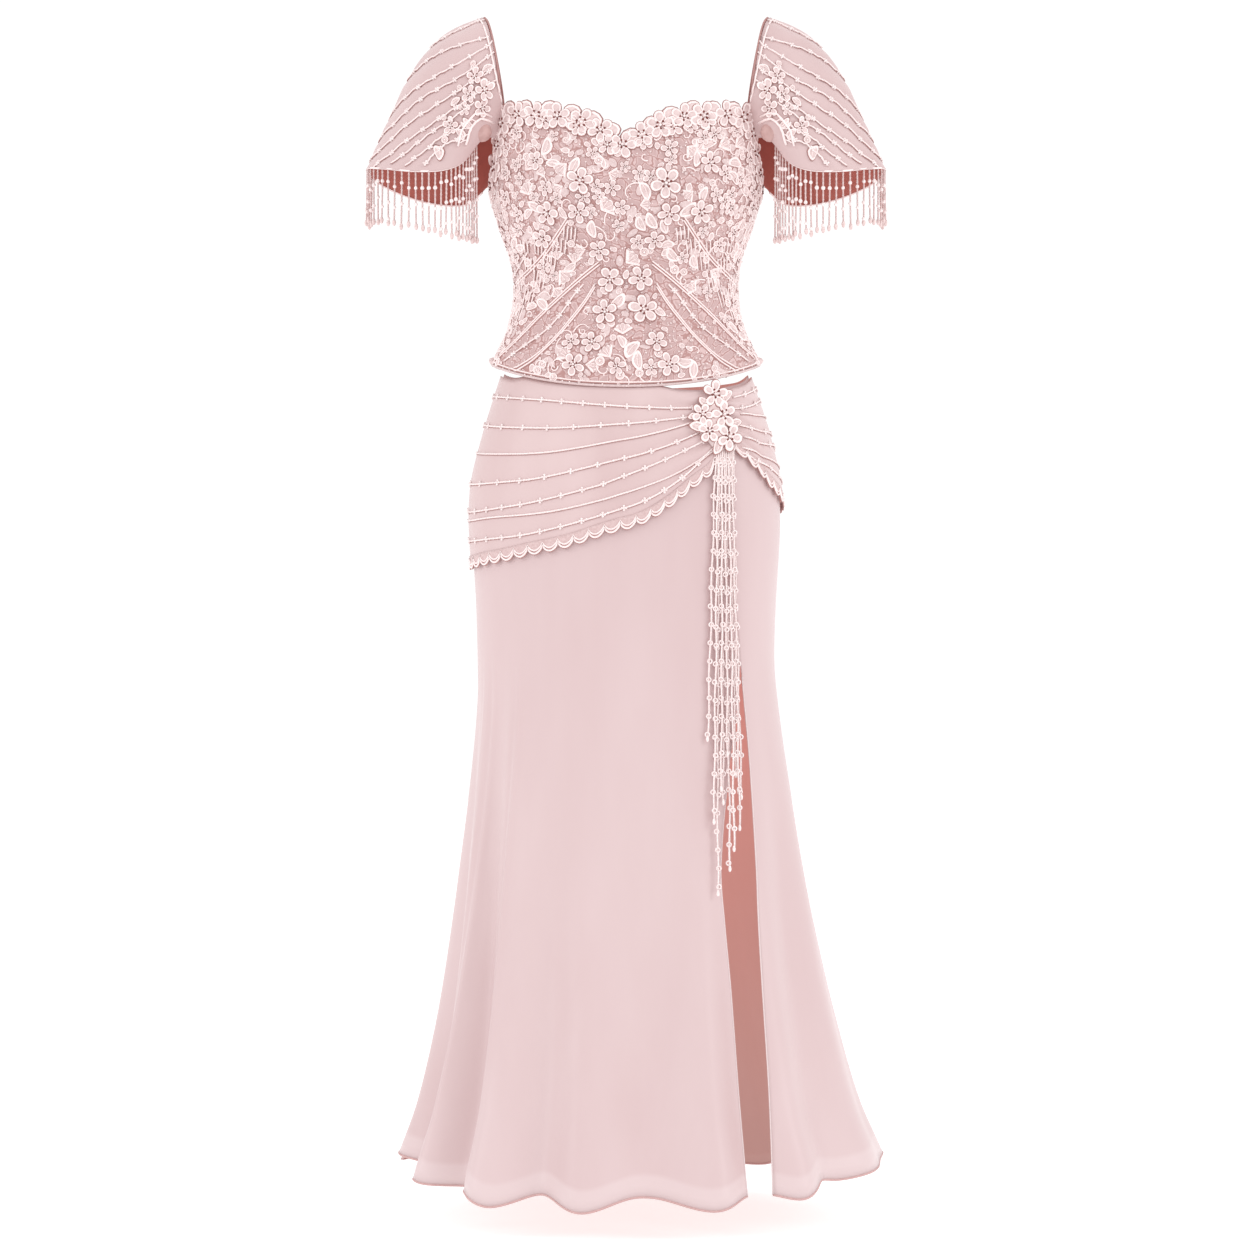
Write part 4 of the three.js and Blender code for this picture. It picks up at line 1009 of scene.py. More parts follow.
SASH_FACE = Surface(sash_point, BODY_STEPS)
SASH_ROWS = 38
SASH_SIDES = {
    "front_right": "skirt_front", "front_left": "skirt_front_side",
    "back_left": "skirt_back_left", "back_right": "skirt_back_right",
}
LINE_OUT, LINE_CORD = 0.8, 1.1  # how far out a beaded line runs, and the radius of its cord
SHADE_PLACE, SHADE_CORD = (0, -1.4, 0.4), 0.7  # the shade under a beaded line


def beaded_line(pile, flat, spacing, seed, every, rng=None):
    """Thin cord with seed beads along places of the pile's surface, and a bead flower in place of every
    few of them."""
    line = pile.surface.at(flat[:, 0], flat[:, 1], LINE_OUT)
    shade = pile.surface.lay(flat[:, 0], flat[:, 1], np.tile(SHADE_PLACE, (len(flat), 1)))
    pile.put(tube(line, LINE_CORD, 4), RIM)
    pile.put(tube(shade, SHADE_CORD, 3), SHADE_LINE)
    way = way_along(line)
    for k, at in enumerate(np.arange(1.0, way[-1], spacing)):
        place = (np.interp(at, way, flat[:, 0]), np.interp(at, way, flat[:, 1]))
        if every and k % every == every // 2:
            pile.lay(place, BEAD_FLOWER)
        else:
            size = seed * (rng.uniform(0.75, 1.15) if rng else 1)
            pile.lay(place, ball((0, 0, LINE_OUT), size, SEED), PEARL)


LACE_OVERLAP, LACE_OUT, LACE_THICKNESS = 5, 1.0, 0.8
SCALLOP_STEPS, SCALLOP_NOTCH = 12, 0.1  # steps along a scallop, and its depth where it meets the next
# Cords along the scallops, and darker lines of painted shade beside them: share of their depth, how much
# further up, how far out, radius, slot
TRIM_CORDS = [(1.0, 0, 1.4, 1.2, RIM), (0.95, 3.2, 1.4, 1.0, RIM), (1.0, 1.6, 0.6, 0.7, SHADE_LINE),
              (1.0, -1.5, 0.6, 0.7, SHADE_LINE)]


def build_trim(side, panel):
    """Scalloped lace along one piece of the sash, each scallop edged with two cords and two darker lines of
    painted shade.
    """
    first, last = (float(v) for v in PANELS[panel][1](np.array(SASH_SIDE_Z)))
    fine = np.linspace(first, last, 400)
    way = way_along(skirt_point(fine, sash_low(fine), SASH_OUT - CLOTH))
    count = SCALLOP_STEPS * max(1, round(way[-1] / SCALLOP_WIDTH))
    angles = np.interp(np.linspace(0, way[-1], count + 1), way, fine)
    bow = np.abs(np.sin(math.pi * np.arange(count + 1) / SCALLOP_STEPS)) ** 0.6
    depth = (SCALLOP_DEPTH + 0.5) * (SCALLOP_NOTCH + (1 - SCALLOP_NOTCH) * bow)
    low = sash_low(angles)
    z = low[:, None] + LACE_OVERLAP - (depth[:, None] + LACE_OVERLAP) * np.linspace(0, 1, 5)[None, :]
    points = sash_point(angles[:, None] + 0 * z, z, LACE_OUT)
    piece = shell(f"trim_{side}_lace", points, LACE_THICKNESS, LACE, LACE)
    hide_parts(f"trim_{side}")
    cords = Pile()
    for share, up, out, radius, mark in TRIM_CORDS:
        cords.put(tube(sash_point(angles, low - depth * share + up, out), radius, 4), mark)
    return piece, cords.build(f"trim_{side}_cords", "trim_lace", MOTIF)


def build_sash():
    rng = random.Random(11)
    for side, panel in SASH_SIDES.items():
        points = sash_point(*panel_grid(panel, sash_high, sash_low, SASH_ROWS))
        piece = shell(f"sash_{side}_cloth", points, CLOTH, SASH, LINING)
        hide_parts(f"sash_{side}")
        lace, cord = build_trim(side, panel)
        declare_cut(points)
    lines = Pile(SASH_FACE)
    for k, line in enumerate(SASH_LINES):
        spacing, seed, every = (3.6, 1.5, 0) if k in DENSE_LINES else (6.5, 1.8, 4 + k % 2)
        beaded_line(lines, curve_through(line, 160), spacing, seed, every, rng)
    lines.build("sash_beads", "bead", MOTIF)


build_sash()


# Top: ground cloth under a close cover of sewn-on flowers, leaves, cords and beads

TOP_ROWS, FIRST_SEED = 56, 21
ARC_SHARE = 0.92  # a ring's mean radius, as a share of its half width
# Largest flowers: x, z and radius in front, angle from the middle, z and radius behind
FRONT_FLOWERS = [
    (-54, 226, 15), (-92, 190, 14), (-56, 190, 12), (-106, 252, 11), (-58, 292, 12), (-96, 300, 12),
    (-22, 268, 12), (-98, 162, 12), (-32, 147, 12), (-19, 113, 14), (18, 115, 14), (-25, 75, 14),
    (21, 78, 16), (-40, 39, 12), (36, 40, 12), (-62, 13, 13), (51, 13, 13), (47, 223, 17),
    (51, 188, 13), (88, 191, 14), (99, 249, 13), (56, 291, 12), (94, 300, 12), (22, 272, 10), (34, 158, 11),
]
BACK_FLOWERS = [
    (14, 276, 12), (34, 290, 12), (18, 236, 14), (38, 244, 11), (14, 192, 13), (12, 140, 12), (14, 88, 13),
    (28, 46, 12),
]
# Cords that run from the middle of the front down to the corners of the hem: x and z on one half
CORDS = [
    [(68, 183), (83, 162), (101, 139), (131, 113)],
    [(31, 133), (55, 114), (79, 93), (103, 71), (131, 43), (151, 26)],
    [(36, 107), (48, 88), (65, 66), (83, 45), (108, 22), (132, 8)],
]
BEAD_CORDS = [
    [(50, 108), (60, 97), (78, 72), (95, 54), (118, 38), (144, 20)],
    [(116, 148), (128, 131), (137, 117)],
]
# Hanging strokes of thread between the cords and the sides: x, z, width, length on one half
COMBS = [
    (64, 164, 14, 20), (76, 150, 16, 22), (88, 132, 16, 24), (101, 113, 16, 24), (114, 94, 16, 22),
    (127, 76, 14, 20), (99, 150, 16, 20), (112, 131, 16, 22), (125, 112, 14, 22), (134, 92, 10, 20),
    (118, 152, 12, 18), (142, 60, 10, 14),
]
COMB_TURN = 14
# A couched pair of cords and their shades: how far up, how far out, radius, slot
COUCHED = [(-1.9, 0.9, 1.0, RIM), (1.9, 0.9, 1.0, RIM), (0, 0.5, 0.8, SHADE_LINE), (-3.6, 0.2, 0.8, SHADE_LINE)]
# Of the cords along the hem, the middle, darker one is painted shade
HEM_CORDS = [(0.5, 1.7, FILL), (3.0, 0.8, SHADE_LINE), (4.6, 1.0, RIM)]  # how far up, radius, slot
CORD_END = 5  # how far over the hem a cord ends
NECK_DROP, NECK_FADE = 4, 6  # how far the ground ends under the neckline, fading so many degrees past it
FLOWER_SPREAD = 1.12  # the soft petals reach this much further than the solid ones
# Shapes thrown on the front: how many at most, smallest and largest radius, and how far apart they lie as
# a share of their radii
LARGE_MOTIFS, SMALL_MOTIFS = (150, 7.0, 11.0, 0.6), (300, 3.6, 6.0, 0.62)
BUDS, SEEDS = (420, 1.8, 3.2, 0.66), (700, 0.9, 1.4, 0.8)
FLAT_PADS, SCROLLS = 400, 46
BACK_SHARE = 0.45  # the share of these numbers on a half of the back
EDGE_SPACING, EDGE_RISE = 14, 6  # how close the edge's flowers are, and how far they stand over the edge
ROLL_PLACES, ROLL_RADIUS = (1.5, 5.5), 5.6  # rolled ends of the hem at the side seams, in degrees from them


def top_grid(first, last, count, rows):
    angle = np.linspace(first, last, count + 1)[:, None]
    near_neck = np.clip(1 - (np.abs(angle) - CORNER_ANGLE) / NECK_FADE, 0, 1)
    high, low = top_edge_z(angle) - NECK_DROP * near_neck, top_hem_z(angle)
    z = high + (low - high) * np.linspace(0, 1, rows + 1)[None, :]
    return angle + 0 * z, z


def arc_scale(z):
    """Millimetres of cloth in one degree, for spacing shapes evenly."""
    return float(smooth(TOP_RINGS, "z", "half", z)) * math.radians(1) * ARC_SHARE


def anywhere(rng, first, last, margin):
    """Random place (angle, z) on a part of the top, a margin from its edge and its hem."""
    angle = rng.uniform(first, last)
    return angle, rng.uniform(float(top_hem_z(angle)) + margin, float(top_edge_z(angle)) - margin)


class Cover:
    """Keeps track of what is laid on a part of the top, so that shapes fill it without piling up."""

    def __init__(self, seed, first, last, keep_off):
        self.rng = random.Random(seed)
        self.first, self.last = first, last
        self.taken = np.zeros((0, 3))
        self.keep_off = keep_off

    def take(self, angle, z, radius):
        self.taken = np.vstack([self.taken, [angle * arc_scale(z), z, radius]])

    def clear_of_cords(self, angle, z, radius):
        place = np.array([angle * arc_scale(z), z])
        return bool(np.min(np.hypot(*(self.keep_off - place).T)) > radius)

    def fits(self, angle, z, radius, overlap):
        place = np.array([angle * arc_scale(z), z])
        if not self.clear_of_cords(angle, z, radius * 0.85 + 1.5):
            return False
        if not len(self.taken):
            return True
        far = np.hypot(self.taken[:, 0] - place[0], self.taken[:, 1] - place[1])
        return bool(np.all(far > (self.taken[:, 2] + radius) * overlap))

    def throw(self, share, shapes, tries=26):
        """Places (angle, z, radius) for a share of one kind of shapes, where there is room."""
        most, low_radius, high_radius, overlap = shapes
        count = int(most * share)
        found = []
        for _ in range(count * tries):
            if len(found) == count:
                break
            radius = self.rng.uniform(low_radius, high_radius)
            angle, z = anywhere(self.rng, self.first, self.last, radius * 0.75)
            if self.fits(angle, z, radius, overlap):
                self.take(angle, z, radius)
                found.append((angle, z, radius))
        return found


def on_front(x, z):
    return float(angle_of_x(TOP_RINGS, x, z))


def on_half(angle, side, back):
    """Angle on one side, in front or behind, of a place given on the front's left half."""
    return side * (180 - angle if back else angle)


def cord_line(points, side, back):
    flat = curve_through(points, 40)
    angle = on_half(angle_of_x(TOP_RINGS, flat[:, 0], flat[:, 1]), side, back)
    return np.column_stack([angle, np.maximum(flat[:, 1], top_hem_z(angle) + CORD_END)])


def lay_cords(pile, side, back):
    """Pairs of couched cords, and lines of beads between them. Returns where they run."""
    cords = [cord_line(points, side, back) for points in CORDS]
    bead_cords = [cord_line(points, side, back) for points in BEAD_CORDS]
    for line in cords:
        for up, out, radius, mark in COUCHED:
            pile.put(tube(TOP.at(line[:, 0], line[:, 1] + up, out), radius, 4), mark)
    for line in bead_cords:
        beaded_line(pile, line, 4.6, 1.3, 4)
    return cords + bead_cords


def large_motif(rng, radius):
    kind = rng.random()
    if kind < 0.4:
        return flower_form(rng, radius * 1.08, detail=9)
    if kind < 0.82:
        return leaf_form(rng, radius * 2.5, radius * 1.3, rng.random() < 0.5)
    return fan_form(rng, radius * 1.7)


def small_motif(rng, radius):
    kind = rng.random()
    if kind < 0.3:
        return rosette_form(radius)
    return bud_form(radius) if kind < 0.65 else scroll_form(rng, radius * 4)


def flat_pad(rng, size):
    outline = rng.choice([leaf_outline, petal_outline])(size, size * rng.uniform(0.5, 0.75), count=9)
    return pad(outline - [0, size / 2], CARVED)


def cover_top(name, first, last, flowers, sides, back, seed):
    """Fill a part of the top: cords, the flowers that have places, combs, then shapes thrown at random."""
    rng = random.Random(seed)
    cords, big, small = Pile(TOP), Pile(TOP), Pile(TOP)
    share = BACK_SHARE if back else 1.0

    def lay_turned(pile, angle, z, shape, slots=BODY):
        pile.lay((angle, z), turned(shape, rng.uniform(0, 360)), slots)

    kept = []
    for side in sides:
        laid = lay_cords(cords, side, back)
        kept += laid
        kept += [laid[1] * part + laid[2] * (1 - part) for part in (0.25, 0.5, 0.75)]
    lines = np.concatenate(kept)
    keep_off = np.column_stack([[a * arc_scale(z) for a, z in lines], lines[:, 1]])
    cover = Cover(seed, first, last, keep_off)
    for angle, z, radius in flowers:
        cover.take(angle, z, radius * FLOWER_SPREAD)
        big.lay((angle, z), flower_form(rng, radius * FLOWER_SPREAD))
    for side in sides:
        for x, z, width, length in COMBS:
            angle = on_half(on_front(x, z), side, back)
            cover.take(angle, z, 6)
            turn = side * (-COMB_TURN if back else COMB_TURN)
            small.lay((angle, z + length / 2), turned(comb_form(rng, width, length), turn))
    edge_flowers(cover, big, rng, first, last)
    for _ in range(int(FLAT_PADS * share)):
        angle, z = anywhere(rng, first, last, 5)
        size = rng.uniform(10, 18)
        if cover.clear_of_cords(angle, z, size * 0.5 + 1):
            lay_turned(small, angle, z, flat_pad(rng, size))
    for angle, z, radius in cover.throw(share, LARGE_MOTIFS):
        lay_turned(big, angle, z, large_motif(rng, radius))
    for _ in range(int(SCROLLS * share)):
        angle, z = anywhere(rng, first, last, 12)
        if cover.clear_of_cords(angle, z, 12):
            lay_turned(small, angle, z, scroll_form(rng, rng.uniform(24, 40)))
    for angle, z, radius in cover.throw(share, SMALL_MOTIFS):
        lay_turned(small, angle, z, small_motif(rng, radius))
    for angle, z, radius in cover.throw(share, BUDS):
        shape = bud_form(radius) if rng.random() < 0.5 else ball((0, 0, 0.4), radius * 0.8, BALL, 0.7)
        lay_turned(small, angle, z, shape)
    for side in sides:
        arm = on_half(np.linspace(CORNER_ANGLE, 89.5, 30), side, back)
        cords.put(tube(TOP.at(arm, top_edge_z(arm) - 0.5, 0.4), 1.3, 5), RIM)
        for off in ROLL_PLACES:
            roll = on_half(90 - off, side, back)
            centre = TOP.at(roll, float(top_hem_z(roll)) + 5, 0.8)
            cords.put(ball(centre, ROLL_RADIUS, BALL, 0.75), BODY)
    for angle, z, radius in cover.throw(share, SEEDS, 12):
        small.lay((angle, z), ball((0, 0, 0.5), radius, SEED), PEARL)
    return (cords.build(name + "_cords", "bodice_lace", MOTIF),
            big.build(name + "_flowers", "flower_cloth", MOTIF), small.build(name + "_seeds", "bead", MOTIF))


def edge_flowers(cover, pile, rng, first, last):
    """Overlapping flowers and single petals along the neckline and the armholes, and cords along the hem."""
    fine = np.linspace(first, last, 600)
    way = way_along(top_point(fine, top_edge_z(fine)))
    count = int(way[-1] / EDGE_SPACING)
    for k in range(count):
        angle = float(np.interp((k + 0.5 + rng.uniform(-0.2, 0.2)) / count * way[-1], way, fine))
        at = float(top_edge_z(angle))
        slope = float(top_edge_z(angle + 0.5) - top_edge_z(angle - 0.5)) / arc_scale(at)
        if k % 2:
            size = rng.uniform(16, 19.5)
            shape = flower_form(rng, size, cup=0.08)
        else:
            length = rng.uniform(19, 24)
            size = length / 2
            petal = pad(petal_outline(length, length * 1.05) - [0, size], padded_profile(1.7, 0.6, 0.85))
            shape = turned(petal, math.degrees(math.atan(slope)) + rng.uniform(-35, 35))
        z = at + EDGE_RISE - size + rng.uniform(-1.5, 1.5)
        cover.take(angle, z, 8)
        pile.lay((angle, z), shape)
    hem = fine[::5]
    for up, radius, mark in HEM_CORDS:
        pile.put(tube(TOP.at(hem, top_hem_z(hem) + up, 0.4), radius, 4), mark)


def build_top():
    front = [(on_front(x, z), z, r) for x, z, r in FRONT_FLOWERS]
    left, right = ([(on_half(a, side, True), z, r) for a, z, r in BACK_FLOWERS] for side in (1, -1))
    parts = {
        "top_front": (-90 + SEAM, 90 - SEAM, 96, front, (-1, 1), False),
        "top_back_left": (90 + SEAM, 180 - SEAM, 48, left, (1,), True),
        "top_back_right": (-180 + SEAM, -90 - SEAM, 48, right, (-1,), True),
    }
    for k, (name, (first, last, count, flowers, sides, back)) in enumerate(parts.items()):
        points = top_point(*top_grid(first, last, count, TOP_ROWS))
        piece = shell(name + "_cloth", points, BODICE_CLOTH, GROUND, BODICE_LINING)
        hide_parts(name)
        cover = cover_top(name, first, last, flowers, sides, back, FIRST_SEED + k)
        declare_cut(points)


build_top()


# Sleeves and their fringes

# Flowers, leaves and rosettes where they are seen on the front half of a sleeve: x, z, size
SLEEVE_FLOWERS = [
    (-178, 354, 12), (-166, 336, 13), (-184, 332, 11), (-170, 316, 12), (-206, 296, 11), (-190, 314, 9),
]
SLEEVE_LEAVES = [(-164, 362, 9), (-224, 263, 11), (-196, 284, 9), (-200, 324, 8), (-186, 298, 8)]
SLEEVE_ROSETTES = [(-180, 370, 4), (-216, 306, 4), (-214, 280, 4.5), (-196, 340, 4)]
SLEEVE_LINES = [  # x and z of points along a line, from the strap's edge to the outer turn
    [(-166, 432), (-204, 416), (-232, 400)],
    [(-150, 408), (-205, 393), (-236, 380), (-262, 360)],
    [(-150, 402), (-210, 366), (-252, 344), (-286, 316)],
    [(-148, 388), (-202, 352), (-245, 330), (-298, 286)],
    [(-148, 368), (-204, 334), (-262, 298), (-308, 262)],
    [(-152, 350), (-204, 314), (-258, 282), (-300, 253)],
    [(-178, 322), (-218, 296), (-278, 255)],
    [(-182, 303), (-222, 279), (-262, 250)],
    [(-190, 284), (-218, 270), (-238, 250)],
]
# How far the cloth swells out between the beaded lines and over what width, how far from a motif the
# swelling is full, and how far under what is sewn on the cloth lies
SWELL, SWELL_WIDTH, SWELL_CLEARANCE, SEWN_DEPTH = 2.6, 7.0, 8, 0.9
FRINGE_STRANDS, FRINGE_FIRST, FRINGE_LAST = 28, 0.01, 0.56
FRINGE_ENDS = table("x z", [(-311, 184), (-176, 157)])

# Soft fold at the front of the armhole, under an arch of ribbed cord; the fold's cloth is darkened with
# painted shade
ARM_FOLD = {"x": -168, "z": 289, "out": -3.5, "radius": 12}
ARM_ARCHES = [  # x and z of points along a cord, and its radius
    ([(-190, 274), (-184, 292), (-172, 305), (-158, 301)], 1.6),
    ([(-199, 272), (-190, 296), (-175, 311), (-160, 308)], 1.3),
    ([(-188, 280), (-196, 276)], 0.8), ([(-186, 286), (-194, 283)], 0.8), ([(-183, 293), (-190, 292)], 0.8),
    ([(-177, 300), (-183, 303)], 0.8), ([(-169, 304), (-171, 309)], 0.8),
]


def find_on_sleeve(x, z):
    """Place (share, along) on the front of the sleeve that is seen at x, z from the front."""
    share, along = np.meshgrid(np.linspace(0, 0.5, 81), np.linspace(0, 1, 81), indexing="ij")
    p = sleeve_point(share, along)
    far = (p[..., 0] - x) ** 2 + (p[..., 2] - z) ** 2
    i = np.unravel_index(np.argmin(far), far.shape)
    return share[i], along[i]


def sleeve_lines():
    """Lines in (share, along) over the front half, and their mirror images over the back half."""
    lines = []
    for seen in SLEEVE_LINES:
        places = [find_on_sleeve(x, z) for x, z in curve_through(seen, 9)]
        flat = curve_through(places, 44)
        flat[:, 1] += 0.006 * np.sin(np.arange(44) * 1.1 + len(lines))
        lines.append(flat)
        lines.append(np.column_stack([1 - flat[:, 0], flat[:, 1]]))
    return lines


def between_lines(points, lines):
    """How far each point of a sleeve swells out between the beaded lines, away from what is sewn on."""
    sewn = np.concatenate([SLEEVE_FACE.at(flat[:, 0], flat[:, 1]) for flat in lines])
    far = np.min(np.linalg.norm(points[..., None, :] - sewn, axis=-1), axis=-1)
    swell = SWELL * (1 - np.exp(-((far / SWELL_WIDTH) ** 2)))
    for x, z, size in SLEEVE_FLOWERS + SLEEVE_LEAVES + SLEEVE_ROSETTES:
        share, along = find_on_sleeve(x, z)
        for place in (share, 1 - share):
            reach = np.linalg.norm(points - sleeve_point(place, along), axis=-1)
            swell = swell * np.clip((reach - size) / SWELL_CLEARANCE, 0, 1)
    return swell - SEWN_DEPTH


DROP, DROP_LENGTH, BEAD_STEP, BIG_STEP = 2.5, 4, 5.4, 3.4


def strand(pile, top, low_z, rng):
    """Hanging strand of seed beads with larger beads and a drop at its end."""
    x, y, z = top
    length = z - low_z
    t = np.linspace(0, 1, 7)
    sway = rng.uniform(-1.2, 1.2)
    line = np.column_stack([x + sway * t * t, y + 0 * t, z - (length - DROP_LENGTH) * t])
    pile.put(tube(line, 1.0, 4, towards=(0, -1, 0)), RIM)
    way = 3.0
    next_big = rng.uniform(10, 20)
    while way < length - 9:
        at = way / (length - DROP_LENGTH)
        centre = np.array([x + sway * at * at, y, z - way])
        if way > next_big:
            pile.put(ball(centre, rng.uniform(2.3, 2.8)), BIG_BEAD)
            next_big += rng.uniform(20, 28)
            way += BIG_STEP
        else:
            pile.put(ball(centre, 1.45, SEED, 1.3), PEARL)
        way += BEAD_STEP
    pile.put(ball((x + sway, y, low_z + 4.4), DROP, BALL, 1.8), PEARL)


# First and last share of the cords along the strap's edge and the hem, and their points
STRAP_EDGE, SLEEVE_END = (0.1, 0.86, 121), (0.01, 0.99, 90)
STRAP_SCALLOPS, STRAP_SCALLOP_OUT = 75, 1.6
BACK_FLOWERS_X = -180  # flowers further out than this are on the sleeve's back half too


def trim_sleeve(lines, rng):
    """Beaded lines, edges, flowers and the soft fold of a sleeve."""
    beads = Pile(SLEEVE_FACE)

    def edge(share, along, out, radius, sides, mark):
        beads.put(tube(SLEEVE_FACE.at(share, 0 * share + along, out), radius, sides), mark)

    for flat in lines:
        beaded_line(beads, flat, 5.0, 1.4, 5, rng)
    strap, hem = np.linspace(*STRAP_EDGE), np.linspace(*SLEEVE_END)
    edge(strap, 0.01, 0.2 + STRAP_SCALLOP_OUT * np.abs(np.sin(strap * STRAP_SCALLOPS)), 1.1, 4, RIM)
    # A dark tube just inside the strap's edge: painted shadow of the opening
    edge(strap, -0.008, -0.9, 1.3, 4, SHADE_LINE)
    edge(hem, 0.995, 0.1, 1.2, 6, RIM)
    for x, z, radius in SLEEVE_FLOWERS:
        share, along = find_on_sleeve(x, z)
        beads.lay((share, along), flower_form(rng, radius))
        if x < BACK_FLOWERS_X:
            beads.lay((1 - share, along), flower_form(rng, radius, detail=9))
    for x, z, size in SLEEVE_LEAVES:
        beads.lay(find_on_sleeve(x, z), turned(leaf_form(rng, size * 2, size, True), rng.uniform(0, 360)))
    for x, z, size in SLEEVE_ROSETTES:
        beads.lay(find_on_sleeve(x, z), rosette_form(size))
    middle = SLEEVE_FACE.at(*find_on_sleeve(ARM_FOLD["x"], ARM_FOLD["z"]), ARM_FOLD["out"])
    # The fold's ball is sleeve cloth darkened with painted shade
    beads.put(ball(middle, ARM_FOLD["radius"], ball_shape(8, 14)), SHADE)
    for seen, radius in ARM_ARCHES:
        share, along = np.array([find_on_sleeve(x, z) for x, z in curve_through(seen, 8)]).T
        edge(share, along, 1.6, radius, 5, RIM)
    return beads


def build_sleeve(side, mirror):
    rng = random.Random(31)
    share, along = np.meshgrid(np.linspace(0, 1, 73), np.linspace(0, 1, 45), indexing="ij")
    lines = sleeve_lines()
    points = sleeve_point(share, along, between_lines(sleeve_point(share, along), lines))[::-1]
    piece = shell(f"sleeve_{side}_cloth", points, CLOTH, SLEEVE, SLEEVE_LINING_SHADED, mirror=mirror)
    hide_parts(f"sleeve_{side}")

    beads = trim_sleeve(lines, rng)
    trimming = beads.build(f"sleeve_{side}_beads", "bead", MOTIF, mirror)

    fringe = Pile()
    shares = np.linspace(FRINGE_FIRST, FRINGE_LAST, FRINGE_STRANDS)
    tops = SLEEVE_FACE.at(shares, 0 * shares + 1, -0.4)
    for k, top in enumerate(tops):
        low = float(smooth(FRINGE_ENDS, "x", "z", top[0])) + (3 if k % 2 else 0) + rng.uniform(-2, 2)
        strand(fringe, top, low, rng)
    strands = fringe.build(f"fringe_{side}_beads", "bead", FRINGE, mirror)
    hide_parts(f"fringe_{side}")
    declare_cut(points)


build_sleeve("right", False)
build_sleeve("left", True)


# Brooch and tassel

BROOCH = [(98, -22, 15), (84, -46, 12), (108, -46, 15), (92, -66, 13), (114, -72, 15)]  # x, z, radius
BROOCH_LEAVES = [  # x, z, size, turn
    (112, -24, 9, -40), (78, -62, 9, 70), (100, -84, 9, 170), (86, -30, 7, 60), (122, -56, 8, -70),
    (74, -50, 6, 90),
]
BROOCH_OUT = 10.5
BACKING = {"x": 100, "z": -52, "half_width": 16, "half_height": 34}
BACKING_PROFILE = [(0, 0.6, BODY), (0.6, 0.6, BODY), (1.0, 0, BODY), (1.0, -1.5, BODY)]
STRANDS = table("top end low out", [
    (102, 93, -432, 5), (104, 99, -528, 7), (106, 104, -611, 5), (108, 107, -490, 8), (109, 111, -506, 5),
    (111, 114, -450, 8), (113, 118, -583, 6), (115, 121, -560, 9), (117, 125, -474, 6), (119, 128, -536, 8),
    (121, 131, -500, 6),
])
STRAND_TOP_Z, STRAND_ROOT_OUT = -88, 8
TASSEL_STEP = 7.2  # from bead to bead
STRAND_SHADE_PLACE = np.array([1.3, 1.2, 0])  # where each strand's painted shade lies: a thinner, darker tube beside and behind it


def over_skirt(x, z, out):
    angle = angle_of_x(SKIRT_RINGS, x, z)
    crest = np.maximum(0, np.maximum(fold_out(angle, z), fold_out(angle - 4, z)))
    return ring_point(SKIRT_RINGS, angle, z, out + crest)


def build_brooch():
    rng = random.Random(41)
    pile = Pile(Surface(lambda x, z: over_skirt(x, z, BROOCH_OUT), (0.5, 0.5)))
    for x, z, radius in BROOCH:
        pile.lay((x, z), flower_form(rng, radius * 1.16, cup=0.06, detail=14, edge=0.62))
    for x, z, size, way in BROOCH_LEAVES:
        pile.lay((x, z), turned(leaf_form(rng, size * 2.1, size * 1.3, True), way))
    backing = pad(round_outline(1.0, 20), BACKING_PROFILE)
    backing[0][:, :2] *= BACKING["half_width"], BACKING["half_height"]
    pile.lay((BACKING["x"], BACKING["z"]), backing)
    piece = pile.build("brooch_flowers", "flower_cloth", MOTIF)
    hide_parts("brooch")


def build_tassel():
    rng = random.Random(43)
    pile = Pile()
    for k in range(len(STRANDS["top"])):
        top, end, low, out = (STRANDS[c][k] for c in ("top", "end", "low", "out"))
        z = np.linspace(STRAND_TOP_Z, low + 8, 44)
        t = (STRAND_TOP_Z - z) / (STRAND_TOP_Z - low)
        lift = STRAND_ROOT_OUT + (out - STRAND_ROOT_OUT) * np.minimum(1, t * 6)
        wave = 0.7 * np.sin(z / 17 + k * 2.1) * np.minimum(1, t * 5)
        line = over_skirt(top + (end - top) * t + wave, z, lift)
        pile.put(tube(line, 0.95, 4), RIM)
        # Each strand's painted shade, in the darker flower cloth
        pile.put(tube(line + STRAND_SHADE_PLACE, 0.75, 3), BODY)
        for j, centre in enumerate(along_line(line, TASSEL_STEP, 4 + 3 * (k % 3))):
            if j % 3 == 1:
                points, faces = ring_bead(2.5, 1.0)
                pile.put((points + centre + np.array([rng.uniform(-1, 1), -0.6, 0]), faces), PEARL)
            else:
                pile.put(ball(centre, 1.4, SEED, 1.2), PEARL)
        foot = over_skirt(np.array(end), np.array(low + 5.0), np.array(float(out)))
        pile.put(ball(foot, 2.1, BALL, 2.0), PEARL)
    piece = pile.build("tassel_beads", "bead", MOTIF)
    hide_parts("tassel")


build_brooch()
build_tassel()


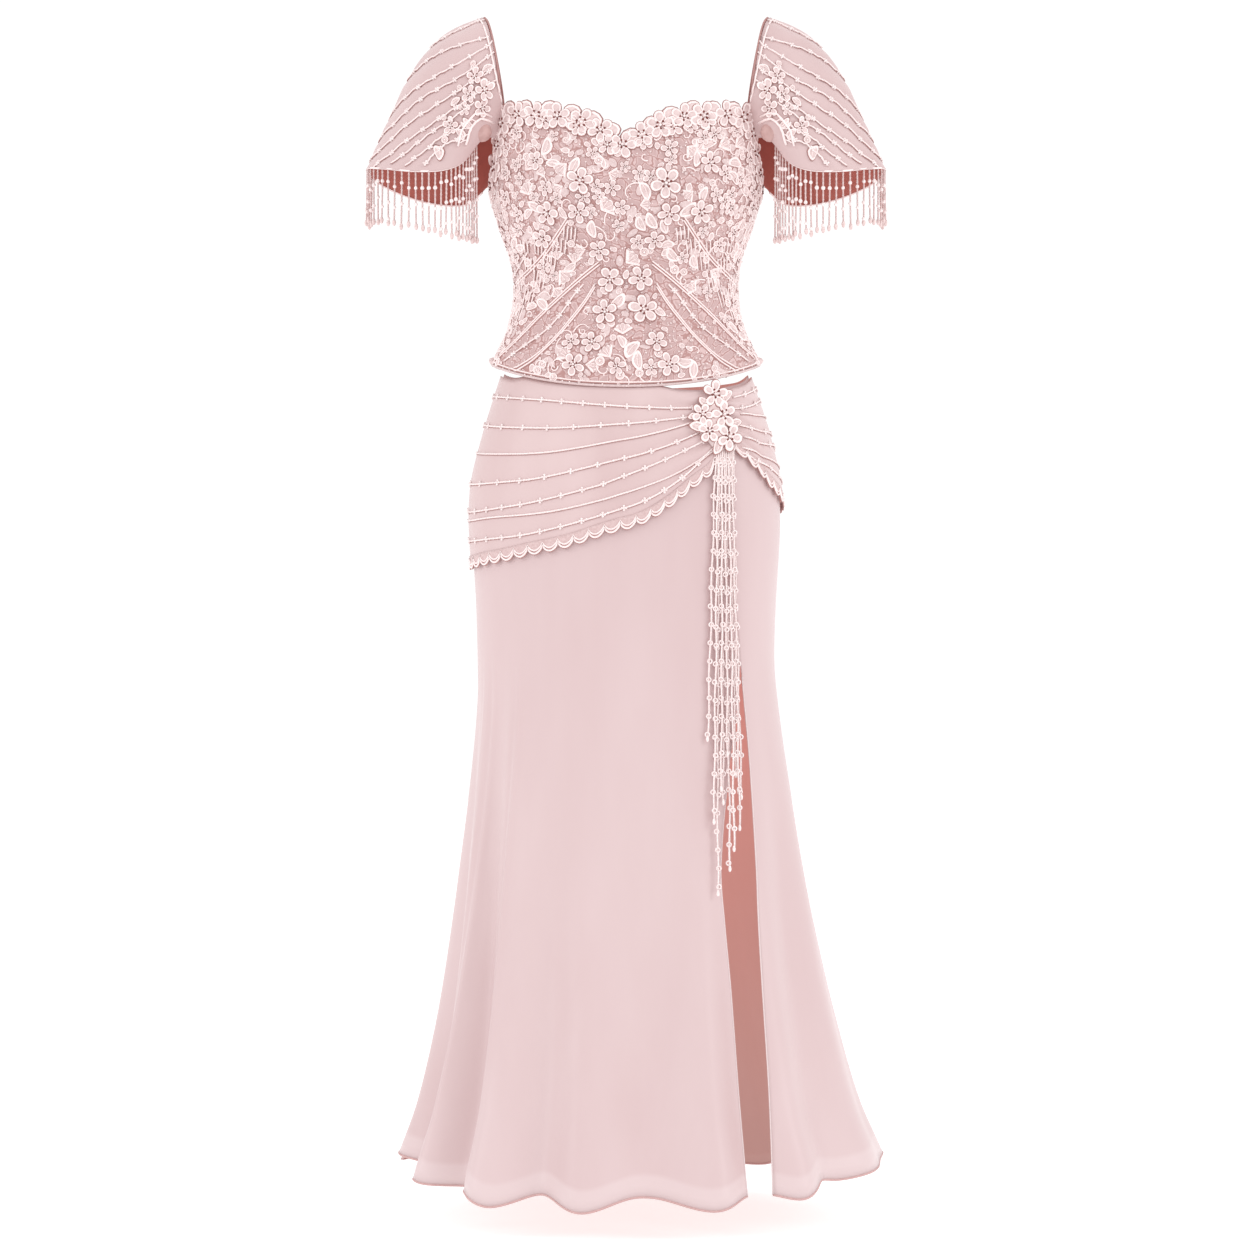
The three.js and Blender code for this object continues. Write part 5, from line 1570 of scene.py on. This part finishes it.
# Camera, floor and light
VIEW_DISTANCE, PHOTO_WIDTH, CAMERA_Z = 5000, 1504.8, -296
CAMERA_X, SENSOR_WIDTH = 1.2, 36
FLOOR_Z, FLOOR_HALF = -1000, 12000
WORLD_LIGHT = 1.06
SUNS = [("left", 0.47, -64), ("right", 0.57, 62)]  # strength, and the side that it shines from in degrees
SUN_TILT, SUN_SOFTNESS = 60, 25


def floor_material():
    """Pale floor, lit from within as a light table is, so that shadows on it stay faint."""
    look = Look("floor", (0.5, 0.5, 0.5), 0.9)
    look.blend(look.noise(3), (0.5, 0.5, 0.5), (0.52, 0.52, 0.52))
    look.set(look.shader, {"Emission Color": (1, 1, 1, 1), "Emission Strength": 0.7})
    return look.material


def place_object(name, data, location=(0, 0, 0), turn=(0, 0, 0)):
    """Put a camera, mesh or light in the scene, at a place in metres and turned by degrees."""
    made = bpy.data.objects.new(name, data)
    made.location = location
    made.rotation_euler = [math.radians(v) for v in turn]
    bpy.context.collection.objects.link(made)
    return made


def build_stage():
    scene = bpy.context.scene
    camera = bpy.data.cameras.new("camera")
    camera.sensor_width = SENSOR_WIDTH
    camera.lens = SENSOR_WIDTH * VIEW_DISTANCE / PHOTO_WIDTH
    place = (CAMERA_X * MM, -VIEW_DISTANCE * MM, CAMERA_Z * MM)
    scene.camera = place_object("camera", camera, place, (90, 0, 0))

    mesh = bpy.data.meshes.new("floor")
    wide, z = FLOOR_HALF * MM, FLOOR_Z * MM
    corners = [(-wide, -wide, z), (wide, -wide, z), (wide, wide, z), (-wide, wide, z)]
    mesh.from_pydata(corners, [], [(0, 1, 2, 3)])
    mesh.materials.append(floor_material())
    place_object("floor", mesh)

    scene.world = bpy.data.worlds.new("studio")
    scene.world.use_nodes = True
    background = scene.world.node_tree.nodes["Background"]
    background.inputs["Color"].default_value = (1, 1, 1, 1)
    background.inputs["Strength"].default_value = WORLD_LIGHT
    for name, energy, turn in SUNS:
        lamp = bpy.data.lights.new(name, "SUN")
        lamp.angle = math.radians(SUN_SOFTNESS)
        lamp.energy = energy
        place_object(name, lamp, turn=(SUN_TILT, 0, turn))
    scene.view_settings.view_transform = "Standard"


build_stage()
